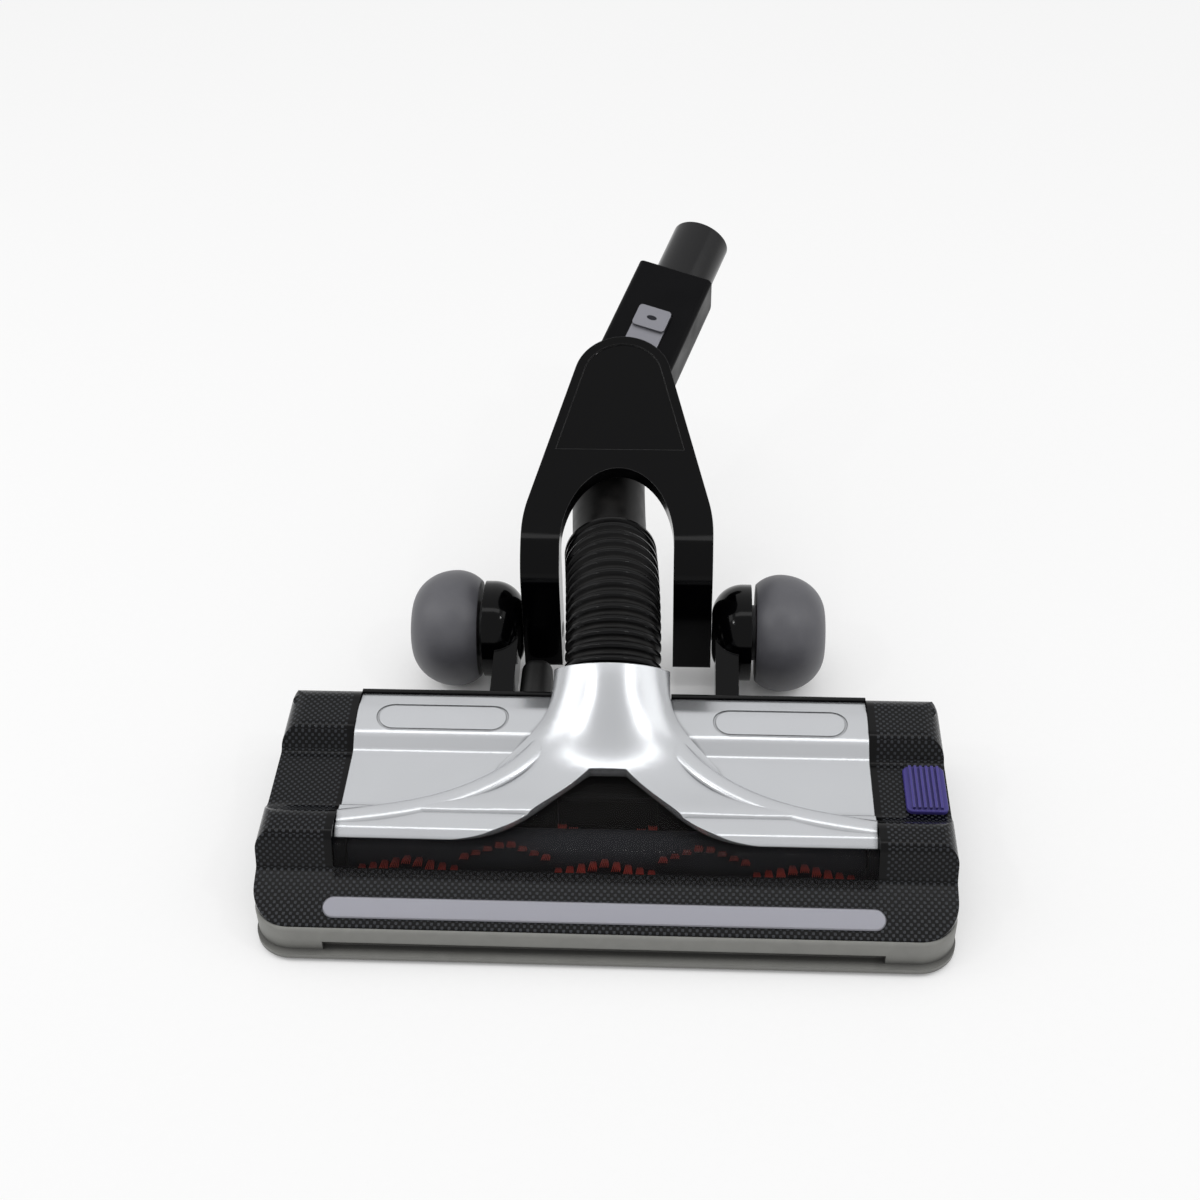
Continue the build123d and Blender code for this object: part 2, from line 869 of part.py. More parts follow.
# Goose-neck fork: a curved band seen from the side, cut to a forked tongue with an arch
tongue_slope = math.tan(slope)
leg_front = axle_y - leg_half_depth
leg_rear = axle_y + leg_half_depth
leg_bottom = axle_z - leg_below_axle
knee_z = tongue_z + (leg_front - tongue_y) * tongue_slope
under_y = tongue_y + tongue_thickness * math.sin(slope)
under_z = tongue_z - tongue_thickness * math.cos(slope)
knee_inner_z = under_z + (leg_rear - under_y) * tongue_slope
reach = tongue_end + tongue_thickness
band_points = [
    (leg_front, leg_bottom),
    (leg_front, knee_z),
    (tongue_y + reach * math.cos(slope), tongue_z + reach * math.sin(slope)),
    (under_y + reach * math.cos(slope), under_z + reach * math.sin(slope)),
    (leg_rear, knee_inner_z),
    (leg_rear, leg_bottom),
]
band_radii = [leg_end_round, knee_radius, 0, 0, knee_inner_radius, leg_end_round]
leg_start = -2 * (tongue_z - leg_bottom)
tongue_points = [
    (-leg_outer, leg_start),
    (-leg_outer, shoulder_along),
    (-tongue_top_half, tongue_end),
    (tongue_top_half, tongue_end),
    (leg_outer, shoulder_along),
    (leg_outer, leg_start),
]
tongue_radii = [0, shoulder_radius, dome_radius, dome_radius, shoulder_radius, 0]

with BuildPart() as fork:
    with BuildSketch(head_side):
        make_face(outline(band_points, band_radii))
    extrude(amount=leg_outer, both=True)
    with BuildSketch(tongue_plane):
        make_face(outline(tongue_points, tongue_radii))
        with Locations((0, arch_centre)):
            Ellipse(leg_inner, arch_height, mode=Mode.SUBTRACT)
            Rectangle(2 * leg_inner, -leg_start, align=(Align.CENTER, Align.MAX), mode=Mode.SUBTRACT)
    extrude(amount=2 * tongue_z, both=True, mode=Mode.INTERSECT)
    with BuildSketch(tongue_plane):
        make_face(outline(tongue_points, tongue_radii))
        offset(amount=-rim_width)
        with Locations((0, rim_start)):
            Rectangle(
                2 * leg_outer,
                rim_start - leg_start,
                align=(Align.CENTER, Align.MAX),
                mode=Mode.SUBTRACT,
            )
    extrude(amount=-rim_depth, mode=Mode.SUBTRACT)
    rod(-leg_outer, leg_outer, axle_y, axle_z, axle_radius + running, mode=Mode.SUBTRACT)
save(fork, "fork")

# Swivel pin with its washer, fixed under the tongue
with BuildPart() as swivel_pin:
    with BuildSketch(Plane(swivel_point - tongue_up * tongue_thickness, x_dir=(1, 0, 0), z_dir=tongue_up)):
        Circle(pivot_radius)
    extrude(amount=-neck_gap - pivot_depth)
    with BuildSketch(Plane(swivel_point - tongue_up * tongue_thickness, x_dir=(1, 0, 0), z_dir=tongue_up)):
        Circle(washer_radius)
    extrude(amount=slide_gap - neck_gap)
save(swivel_pin, "swivel_pin")

# Neck: flat-topped upper shell over a round lower shell, with the spigot between them
neck_length = neck_high_end - neck_low_end
neck_half = neck_width / 2

with BuildPart() as neck_upper_shell:
    with BuildSketch(neck_plane(neck_low_end)):
        make_face(
            outline(
                [
                    (-neck_half, 0),
                    (neck_half, 0),
                    (neck_half, neck_block_height),
                    (-neck_half, neck_block_height),
                ],
                [0, 0, neck_edge, neck_edge],
            )
        )
        Circle(neck_bore, mode=Mode.SUBTRACT)
    extrude(amount=neck_length)
    with BuildSketch(neck_plane(spigot_seat)):
        Circle(spigot_seat_radius)
    extrude(amount=neck_high_end - spigot_seat, mode=Mode.SUBTRACT)
    with BuildSketch(neck_face_plane(0, neck_block_height)):
        Circle(pivot_radius + running)
    extrude(amount=-pivot_depth - gap, mode=Mode.SUBTRACT)
    with BuildSketch(neck_face_plane((button_start + button_end) / 2, neck_block_height)):
        Rectangle(button_width + 2 * gap, button_end - button_start + 2 * gap)
    extrude(amount=-pocket_depth, mode=Mode.SUBTRACT)
    with BuildSketch(neck_plane(neck_high_end)):
        with Locations((0, neck_block_height - contact_depth)):
            SlotOverall(contact_spacing + 6 * contact_radius, 3 * contact_radius)
    extrude(amount=-socket_depth, mode=Mode.SUBTRACT)
    with BuildSketch(neck_plane(neck_high_end - socket_depth)):
        with Locations(
            (-contact_spacing / 2, neck_block_height - contact_depth),
            (contact_spacing / 2, neck_block_height - contact_depth),
        ):
            Circle(contact_radius)
    extrude(amount=-contact_seat, mode=Mode.SUBTRACT)
save(neck_upper_shell, "neck_upper_shell")

with BuildPart() as neck_lower_shell:
    with BuildSketch(neck_plane(neck_low_end)):
        Circle(neck_half)
        Circle(neck_bore, mode=Mode.SUBTRACT)
        Rectangle(neck_width, neck_width, align=(Align.CENTER, Align.MIN), mode=Mode.SUBTRACT)
    extrude(amount=neck_length)
    with BuildSketch(neck_plane(spigot_seat)):
        Circle(spigot_seat_radius)
    extrude(amount=neck_high_end - spigot_seat, mode=Mode.SUBTRACT)
save(neck_lower_shell, "neck_lower_shell")

with BuildPart() as spigot:
    with BuildSketch(neck_plane(spigot_seat)):
        Circle(spigot_seat_radius)
    extrude(amount=neck_high_end - spigot_seat)
    with BuildSketch(neck_plane(neck_high_end)):
        Circle(spigot_radius)
    extrude(amount=spigot_tip - neck_high_end)
    with BuildSketch(neck_plane(spigot_seat)):
        Circle(spigot_bore)
    extrude(amount=spigot_tip - spigot_seat, mode=Mode.SUBTRACT)
save(spigot, "spigot")

with BuildPart() as hose_cuff:
    with BuildSketch(neck_plane(neck_low_end)):
        Circle(cuff_radius)
        Circle(cuff_bore, mode=Mode.SUBTRACT)
    extrude(amount=2 * cuff_start)
    with BuildSketch(Plane(hose_end, x_dir=(1, 0, 0), z_dir=hose_end_dir)):
        Rectangle(4 * cuff_radius, 4 * cuff_radius)
    extrude(amount=4 * cuff_start, mode=Mode.SUBTRACT)
save(hose_cuff, "hose_cuff")

button_middle = (button_start + button_end) / 2
button_length = button_end - button_start
button_base = neck_block_height - pocket_depth + button_travel + gap

with BuildPart() as release_button:
    with BuildSketch(neck_face_plane(button_middle, button_base)):
        RectangleRounded(button_width, button_length, button_round)
    extrude(amount=button_height)
    with BuildSketch(neck_face_plane(button_middle + button_length / 4, button_base)):
        RectangleRounded(button_width, button_length / 2, button_round)
    extrude(amount=button_height + button_step)
save(release_button, "release_button")

# Hose along two tangent arcs from the throat to the cuff, ribbed below and smooth above
span = hose_end - throat_point
lead_out = (span.dot(span) / 2 - hose_lead * span.dot(throat_dir)) / (
    span.dot(hose_end_dir) - hose_lead * (throat_dir.dot(hose_end_dir) - 1)
)
lead_in_point = throat_point + throat_dir * hose_lead
lead_out_point = hose_end - hose_end_dir * lead_out
hose_middle = (lead_in_point * lead_out + lead_out_point * hose_lead) * (1 / (hose_lead + lead_out))

with BuildLine() as hose_path:
    lower_bend = TangentArc(throat_point, hose_middle, tangent=throat_dir)
    TangentArc(hose_middle, hose_end, tangent=lower_bend % 1)
hose_wire = hose_path.wire()
hose_length = hose_wire.length
ribbed_length = hose_rings * hose_pitch

hose_stations = []
for ring in range(hose_rings):
    ring_middle = hose_pitch * (ring + 0.5)
    hose_stations += [
        (ring_middle - hose_pitch / 2, hose_root_radius),
        (ring_middle - hose_ring / 2, hose_radius),
        (ring_middle + hose_ring / 2, hose_radius),
    ]
for step in range(smooth_steps + 1):
    along = ribbed_length + (hose_length - ribbed_length) * step / smooth_steps
    hose_stations.append((along, hose_smooth_radius))

with BuildPart() as hose:
    for along, radius in hose_stations:
        with BuildSketch(Plane(hose_wire.location_at(along / hose_length))):
            Circle(radius)
    loft(ruled=True)
    for step in range(bore_steps + 1):
        with BuildSketch(Plane(hose_wire.location_at(step / bore_steps))):
            Circle(hose_bore)
    loft(ruled=True, mode=Mode.SUBTRACT)
save(hose, "hose")

# Brush roll: core with journals, and chevron rows of bristle tufts
journal_right = bearing_x + bearing_thickness + journal_proud
pulley_end = pulley_x + pulley_width

with BuildPart() as brush_core:
    rod(-brush_half, brush_half, brush_y, brush_z, brush_core_radius)
    rod(-pulley_end, journal_right, brush_y, brush_z, journal_radius)
save(brush_core, "brush_core")

with BuildPart() as bristles:
    for row in range(bristle_rows):
        for tuft in range(-tufts_per_half, tufts_per_half + 1):
            tuft_x = tuft * tuft_pitch
            chevron = round(tuft_x / chevron_length)
            apex = top_apex if chevron % 2 else front_apex
            turn_angle = row * 360 / bristle_rows + apex
            turn_angle += chevron_slope * abs(tuft_x - chevron * chevron_length)
            with Locations(
                Location((tuft_x, head_y + brush_y, brush_z), (turn_angle, 0, 0))
                * Location((0, 0, brush_core_radius))
            ):
                Box(
                    tuft_width,
                    tuft_depth,
                    bristle_radius - brush_core_radius,
                    align=(Align.CENTER, Align.CENTER, Align.MIN),
                )
save(bristles, "bristles")

for name, side in (("left", -1), ("right", 1)):
    with BuildPart() as brush_bearing:
        with BuildSketch(head_side.offset(side * bearing_x)):
            with Locations((brush_y, plate_top)):
                Rectangle(2 * bearing_half_width, brush_z - plate_top, align=(Align.CENTER, Align.MIN))
            with Locations((brush_y, brush_z)):
                Circle(bearing_half_width)
                Circle(journal_radius + running, mode=Mode.SUBTRACT)
        extrude(amount=side * bearing_thickness)
    save(brush_bearing, f"{name}_brush_bearing")

with BuildPart() as brush_pulley:
    rod(-pulley_x, -pulley_end, brush_y, brush_z, brush_pulley_radius)
    for start in (pulley_x, pulley_end - pulley_flange_width):
        rod(-start, -start - pulley_flange_width, brush_y, brush_z, brush_pulley_radius + pulley_flange)
    rod(-pulley_x, -pulley_end, brush_y, brush_z, journal_radius, mode=Mode.SUBTRACT)
save(brush_pulley, "brush_pulley")

with BuildPart() as motor_rotor:
    rod(-pulley_x, -pulley_end, motor_y, motor_z, motor_pulley_radius)
    for start in (pulley_x, pulley_end - pulley_flange_width):
        rod(-start, -start - pulley_flange_width, motor_y, motor_z, motor_pulley_radius + pulley_flange)
    rod(-motor_outer + shaft_depth, -pulley_end, motor_y, motor_z, motor_shaft_radius)
save(motor_rotor, "motor_rotor")

with BuildPart() as drive_belt:
    belt_plane = head_side.offset(-pulley_x - pulley_flange_width - gap)
    belt_width = pulley_width - 2 * pulley_flange_width - 2 * gap
    with BuildSketch(belt_plane):
        with Locations((brush_y, brush_z)):
            Circle(brush_pulley_radius + belt_lift + belt_thickness)
        with Locations((motor_y, motor_z)):
            Circle(motor_pulley_radius + belt_lift + belt_thickness)
        make_hull()
    extrude(amount=-belt_width)
    with BuildSketch(belt_plane):
        with Locations((brush_y, brush_z)):
            Circle(brush_pulley_radius + belt_lift)
        with Locations((motor_y, motor_z)):
            Circle(motor_pulley_radius + belt_lift)
        make_hull()
    extrude(amount=-belt_width, mode=Mode.SUBTRACT)
save(drive_belt, "drive_belt")

# Motor in its bracket
with BuildPart() as motor:
    rod(-motor_outer, -motor_inner, motor_y, motor_z, motor_radius)
    chamfer(motor.edges(), wall / 2)
    rod(
        -motor_outer,
        -motor_outer + shaft_depth + gap,
        motor_y,
        motor_z,
        motor_shaft_radius + running,
        mode=Mode.SUBTRACT,
    )
save(motor, "motor")

with BuildPart() as motor_bracket:
    for start in (motor_inner + bracket_inset, motor_outer - bracket_inset - bracket_width):
        block(
            (-start - bracket_width, motor_y - motor_radius - wall, plate_top),
            (-start, motor_y + motor_radius + wall, motor_z),
        )
    block(
        (-motor_outer + bracket_inset, motor_y - motor_radius - wall, plate_top),
        (-motor_inner - bracket_inset, motor_y + motor_radius + wall, plate_top + wall),
    )
    rod(-motor_outer, -motor_inner, motor_y, motor_z, motor_radius, mode=Mode.SUBTRACT)
save(motor_bracket, "motor_bracket")

# Circuit board on four posts of the base plate
with BuildPart() as circuit_board:
    block(
        (board_x - board_length / 2, board_y - board_width / 2, board_z),
        (board_x + board_length / 2, board_y + board_width / 2, board_z + board_thickness),
    )
    with Locations(
        (board_x - board_length / 4, head_y + board_y, board_z + board_thickness),
        (board_x + board_length / 4, head_y + board_y, board_z + board_thickness),
    ):
        Cylinder(capacitor_radius, capacitor_height, align=(Align.CENTER, Align.CENTER, Align.MIN))
    block(
        (board_x - chip_half, board_y - chip_half, board_z + board_thickness),
        (board_x + chip_half, board_y + chip_half, board_z + board_thickness + chip_height),
    )
save(circuit_board, "circuit_board")

# Latch that slides in the valley of the right end cap, with its leaf spring
latch_base = valley_z + slide_gap

with BuildPart() as latch:
    with BuildSketch(Plane((latch_middle, head_y + latch_y, latch_base))):
        RectangleRounded(latch_length, latch_width, edge_round)
    extrude(amount=latch_height)
    fillet(latch.faces().sort_by(Axis.Z)[-1].edges(), latch_height / 3)
    rib_step = (latch_length - 2 * edge_round) / (latch_ribs - 1)
    rib_top = latch_base + latch_height + latch_rib_height
    for rib in range(latch_ribs):
        rib_x = latch_x + edge_round + rib * rib_step
        block(
            (rib_x - rib_step / 4, latch_y - latch_width / 2 + latch_rib_end, latch_base),
            (rib_x + rib_step / 4, latch_y + latch_width / 2 - latch_rib_end, rib_top),
        )
    block(
        (latch_middle - latch_stem / 2, latch_y - latch_stem / 2, valley_z - latch_stem_depth),
        (latch_middle + latch_stem / 2, latch_y + latch_stem / 2, latch_base),
    )
    block(
        (latch_middle - latch_stem / 2, latch_y - latch_stem, valley_z - latch_stem_depth),
        (latch_middle + latch_stem / 2, latch_y + latch_stem, valley_z - wall - slide_gap),
    )
save(latch, "latch")

with BuildPart() as latch_spring:
    leaf_start = latch_rib_x + gap
    leaf_end = latch_middle - latch_stem / 2 - gap
    leaf_low = valley_z - latch_stem_depth + leaf_thickness
    leaf_high = valley_z - wall - slide_gap - leaf_thickness
    with BuildSketch(Plane.XZ.offset(-head_y - latch_y)):
        with BuildLine():
            Polyline(
                *[
                    (
                        leaf_start + (leaf_end - leaf_start) * fold / leaf_folds,
                        leaf_high if fold % 2 else leaf_low,
                    )
                    for fold in range(leaf_folds + 1)
                ]
            )
        trace(line_width=leaf_thickness)
    extrude(amount=latch_stem / 2, both=True)
save(latch_spring, "latch_spring")

# Leaf spring under the release button, and the contact pins in the end of the neck
with BuildPart() as button_spring:
    leaf_floor = neck_block_height - pocket_depth
    leaf_origin = neck_origin + neck_dir * ((button_start + button_end) / 2) + tongue_up * leaf_floor
    leaf_reach = (button_end - button_start) / 2 - edge_round
    with BuildSketch(Plane(leaf_origin, x_dir=neck_dir, z_dir=neck_dir.cross(tongue_up))):
        with BuildLine():
            Polyline(
                (-leaf_reach, leaf_thickness),
                (-leaf_reach / 2, leaf_thickness),
                (0, button_travel + gap - leaf_thickness),
                (leaf_reach / 2, leaf_thickness),
                (leaf_reach, leaf_thickness),
            )
        trace(line_width=leaf_thickness)
    extrude(amount=button_width / 4, both=True)
save(button_spring, "button_spring")

with BuildPart() as contact_pins:
    with BuildSketch(neck_plane(neck_high_end - socket_depth - contact_seat)):
        with Locations(
            (-contact_spacing / 2, neck_block_height - contact_depth),
            (contact_spacing / 2, neck_block_height - contact_depth),
        ):
            Circle(contact_radius)
    extrude(amount=contact_length)
save(contact_pins, "contact_pins")

# Front rollers on their axles
roller_z = roller_radius
roller_half = roller_width / 2

for name, side in (("left", -1), ("right", 1)):
    with BuildPart() as roller:
        rod(
            side * roller_x - roller_half, side * roller_x + roller_half, roller_y, roller_z, roller_radius
        )
        fillet(roller.edges(), roller_axle_radius)
        rod(
            side * roller_x - roller_half,
            side * roller_x + roller_half,
            roller_y,
            roller_z,
            roller_axle_radius + running,
            mode=Mode.SUBTRACT,
        )
    save(roller, f"{name}_roller")

    with BuildPart() as roller_axle:
        axle_reach = roller_half + gap + lug_thickness
        rod(
            side * roller_x - axle_reach,
            side * roller_x + axle_reach,
            roller_y,
            roller_z,
            roller_axle_radius,
        )
    save(roller_axle, f"{name}_roller_axle")

# Screws that hold the base plate to the housing
with BuildPart() as base_screws:
    with Locations(*[(x, y, sole_z) for x, y in screw_spots]):
        Cylinder(screw_head_radius, screw_head, align=(Align.CENTER, Align.CENTER, Align.MIN))
    with Locations(*[(x, y, sole_z + screw_head) for x, y in screw_spots]):
        Cylinder(screw_radius, screw_length, align=(Align.CENTER, Align.CENTER, Align.MIN))
save(base_screws, "base_screws")
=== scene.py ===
import json
import math

import bpy
from bpy.props import FloatProperty, FloatVectorProperty, IntProperty, PointerProperty
from mathutils import Matrix, Vector

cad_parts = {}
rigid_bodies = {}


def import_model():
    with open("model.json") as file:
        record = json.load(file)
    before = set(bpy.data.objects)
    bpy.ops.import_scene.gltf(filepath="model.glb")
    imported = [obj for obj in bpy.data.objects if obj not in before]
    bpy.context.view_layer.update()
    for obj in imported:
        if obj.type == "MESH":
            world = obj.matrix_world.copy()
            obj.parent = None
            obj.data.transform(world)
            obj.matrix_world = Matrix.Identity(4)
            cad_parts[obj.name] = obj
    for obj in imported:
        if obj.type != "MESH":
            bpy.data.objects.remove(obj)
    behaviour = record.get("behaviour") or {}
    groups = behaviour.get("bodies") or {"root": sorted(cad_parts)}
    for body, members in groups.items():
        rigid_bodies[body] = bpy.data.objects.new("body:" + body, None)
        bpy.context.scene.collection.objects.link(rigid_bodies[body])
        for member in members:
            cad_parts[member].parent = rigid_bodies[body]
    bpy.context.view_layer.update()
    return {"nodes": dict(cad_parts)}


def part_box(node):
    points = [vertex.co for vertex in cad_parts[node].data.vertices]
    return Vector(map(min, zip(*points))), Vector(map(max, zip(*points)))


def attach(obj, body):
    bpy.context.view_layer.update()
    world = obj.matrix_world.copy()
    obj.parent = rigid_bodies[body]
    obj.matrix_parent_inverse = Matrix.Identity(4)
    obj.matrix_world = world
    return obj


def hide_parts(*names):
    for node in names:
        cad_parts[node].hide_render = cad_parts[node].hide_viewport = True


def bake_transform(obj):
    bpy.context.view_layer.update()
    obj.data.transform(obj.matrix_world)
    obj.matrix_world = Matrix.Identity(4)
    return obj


bl_info = {
    "name": "Vacuum floor head",
    "version": (1, 0, 0),
    "blender": (4, 5, 0),
    "location": "View3D > Sidebar > Floor head",
    "description": "Dresses a powered vacuum floor head: hose, bristles, finishes and a small studio",
    "category": "Object",
}

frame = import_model()
MM = 0.001
# Points of a mesh that are closer than this are merged
MERGE = 0.01 * MM

# Places in metres and directions that the hose and the neck take from the solid model
THROAT = Vector((0.0, -0.0662, 0.049))
THROAT_RISE = math.radians(35)
THROAT_WAY = Vector((0.0, math.cos(THROAT_RISE), math.sin(THROAT_RISE)))
NECK_ORIGIN = Vector((0.0, 0.09153, 0.09226))
NECK_WAY = Vector((0.34202, 0.864992, 0.367167))
NECK_UP = Vector((0.0, -0.3907, 0.9205))
CUFF_BACK = 20 * MM
CUFF = NECK_ORIGIN - CUFF_BACK * NECK_WAY
CUFF_RISE = math.radians(30)
CUFF_WAY = Vector((0.0, math.cos(CUFF_RISE), math.sin(CUFF_RISE)))
# The sloping fascia, from the top of the bumper to the crease below the window
FASCIA_FOOT = Vector((0.0, -190.7, 17.0)) * MM
FASCIA_CREASE = Vector((0.0, -166.2, 26.5)) * MM
FASCIA_UP = Vector((1.0, 0.0, 0.0)).cross(FASCIA_CREASE - FASCIA_FOOT).normalized()
# The film reaches this far under the fascia, this high on it, and out from here on the end caps
FILM_DEPTH = 1 * MM
FILM_TOP = 27 * MM
FILM_CAP = 118.5 * MM
# Control points of the rim along the fairing's right sweep, from the throat to the cap, in millimetres
SWEEP = (
    (26, -96, 44),
    (30, -112, 42),
    (61, -138, 37.5),
    (95, -147, 40.5),
    (115, -149, 39),
)
# The camera fitted to the photograph: place in metres, angles in radians, sensor in millimetres
CAMERA_PLACE = (0.03202, -0.64872, 0.58606)
CAMERA_YAW = -0.0634
CAMERA_PITCH = 0.7006
CAMERA_ROLL = -0.0253
SENSOR_WIDTH = 36
# The point that the lamps are turned to
LAMP_AIM = Vector((0.0, 0.0, 0.03))


def hex_colour(text):
    """An sRGB hex value as linear red, green, blue and alpha."""
    channels = [int(text[i : i + 2], 16) / 255 for i in (1, 3, 5)]
    return tuple(c / 12.92 if c <= 0.04045 else ((c + 0.055) / 1.055) ** 2.4 for c in channels) + (1.0,)


def per_mm(size):
    """Texture scale whose features come out at that size in millimetres."""
    return 1 / (size * MM)


def shaded(colour, level):
    """The colour made darker or paler by that factor."""
    return tuple(channel * level for channel in colour[:3]) + (1.0,)


def middle_of(node):
    """The middle of a CAD node's box."""
    low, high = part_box(node)
    return (Vector(low) + Vector(high)) / 2


def add_node(tree, kind, inputs=None, **settings):
    """Adds a shader node, sets it up, and links those inputs that are given as sockets."""
    node = tree.nodes.new("ShaderNode" + kind)
    for name, value in settings.items():
        setattr(node, name, value)
    for key, value in (inputs or {}).items():
        if isinstance(value, bpy.types.NodeSocket):
            tree.links.new(value, node.inputs[key])
        else:
            node.inputs[key].default_value = value
    return node


def start_material(name):
    """An empty node material, its tree and its Object coordinates."""
    material = bpy.data.materials.new(name)
    material.use_nodes = True
    tree = material.node_tree
    tree.nodes.clear()
    place = add_node(tree, "TexCoord").outputs["Object"]
    return material, tree, place


def end_material(material, tree, shader):
    """The material with that shader joined to its output."""
    add_node(tree, "OutputMaterial", {"Surface": shader.outputs[0]})
    return material


def relief(tree, height, strength, depth, rounding):
    """Normals of a relief of that depth, on edges that look rounded by that radius, in millimetres."""
    eased = add_node(tree, "Bevel", {"Radius": rounding * MM}, samples=4)
    bump = add_node(
        tree,
        "Bump",
        {"Strength": strength, "Distance": depth * MM, "Height": height, "Normal": eased.outputs[0]},
    )
    return bump.outputs[0]


def seam_shaded(tree, unshaded_colour, base, reach):
    """The colour darkened towards 0.3 of its base by ambient occlusion: painted shade in seams and grooves
    up to that width in millimetres.
    """
    # Painted shade: the colour goes dark where ambient occlusion finds a seam or groove nearby
    seam = add_node(tree, "AmbientOcclusion", {"Distance": reach * MM}, samples=6)
    lit_share = add_node(tree, "MapRange", {"Value": seam.outputs["AO"], "From Min": 0.45, "From Max": 0.95})
    mixed = add_node(
        tree, "Mix", {0: lit_share.outputs[0], 6: shaded(base, 0.3), 7: unshaded_colour}, data_type="RGBA"
    )
    return mixed.outputs[2]


def moulded_plastic(name, colour, roughness, grain, depth, wear_and_highlight, shine=0.06):
    """Injection-moulded plastic: spark-eroded grain, handling marks in the gloss, edges paler from wear and
    a painted highlight.

    The grain's width and depth are in millimetres, and the edge setting after them is how far an edge goes
    towards pale: rubbed wear together with a painted highlight.
    """
    material, tree, place = start_material(name)
    grain_map = add_node(tree, "TexNoise", {"Vector": place, "Scale": per_mm(grain), "Detail": 2.0})
    marks = add_node(tree, "TexNoise", {"Vector": place, "Scale": per_mm(18), "Detail": 4.0})
    gloss = add_node(
        tree,
        "MapRange",
        {
            "Value": marks.outputs["Fac"],
            "From Min": 0.3,
            "From Max": 0.7,
            "To Min": roughness * 0.8,
            "To Max": roughness * 1.25,
        },
    )
    eased = add_node(tree, "Bevel", {"Radius": 0.45 * MM}, samples=4)
    flat = add_node(tree, "NewGeometry")
    turn = add_node(
        tree, "VectorMath", {0: eased.outputs["Normal"], 1: flat.outputs["Normal"]}, operation="DOT_PRODUCT"
    )
    # Edges go paler: partly rubbed wear, partly a painted highlight along the rims
    edge = add_node(
        tree,
        "MapRange",
        {"Value": turn.outputs["Value"], "From Min": 0.985, "From Max": 0.86, "To Max": wear_and_highlight},
    )
    rubbed_and_lit = add_node(tree, "Math", {0: edge.outputs[0], 1: marks.outputs["Fac"]}, operation="MULTIPLY")
    pale = tuple(0.6 * channel + 0.2 for channel in colour[:3]) + (1.0,)
    shade = add_node(
        tree,
        "Mix",
        {0: marks.outputs["Fac"], 6: shaded(colour, 0.88), 7: shaded(colour, 1.12)},
        data_type="RGBA",
    )
    tint = add_node(tree, "Mix", {0: rubbed_and_lit.outputs[0], 6: shade.outputs[2], 7: pale}, data_type="RGBA")
    bump = add_node(
        tree,
        "Bump",
        {
            "Strength": 0.35,
            "Distance": depth * MM,
            "Height": grain_map.outputs["Fac"],
            "Normal": eased.outputs["Normal"],
        },
    )
    shader = add_node(
        tree,
        "BsdfPrincipled",
        {
            "Base Color": tint.outputs[2],
            "Roughness": gloss.outputs[0],
            "IOR": 1.53,
            "Specular IOR Level": shine,
            "Normal": bump.outputs[0],
        },
    )
    return end_material(material, tree, shader)


def metallic_paint(name, colour, roughness, metallic, grain):
    """Metallic lacquer on ABS: bright flakes under a clear top coat, a faint mottling of the spray."""
    material, tree, place = start_material(name)
    # Real flakes are about 0.05 mm; they are drawn coarser so that they show
    flakes = add_node(tree, "TexVoronoi", {"Vector": place, "Scale": per_mm(grain)})
    spray = add_node(tree, "TexNoise", {"Vector": place, "Scale": per_mm(30), "Detail": 3.0})
    mottle = add_node(
        tree,
        "Mix",
        {0: spray.outputs["Fac"], 6: shaded(colour, 0.96), 7: shaded(colour, 1.03)},
        data_type="RGBA",
    )
    # Painted shade in the seams round the pieces, from ambient occlusion
    coat = seam_shaded(tree, mottle.outputs[2], colour, 3)
    flake_value = add_node(tree, "SeparateColor", {"Color": flakes.outputs["Color"]})
    sparkle = add_node(
        tree,
        "MapRange",
        {"Value": flake_value.outputs[0], "To Min": roughness * 0.96, "To Max": roughness * 1.04},
    )
    shader = add_node(
        tree,
        "BsdfPrincipled",
        {
            "Base Color": coat,
            "Metallic": metallic,
            "Roughness": sparkle.outputs[0],
            "Coat Weight": 0.35,
            "Coat Roughness": 0.12,
            "Normal": relief(tree, flake_value.outputs[0], strength=0.02, depth=0.02, rounding=0.5),
        },
    )
    return end_material(material, tree, shader)


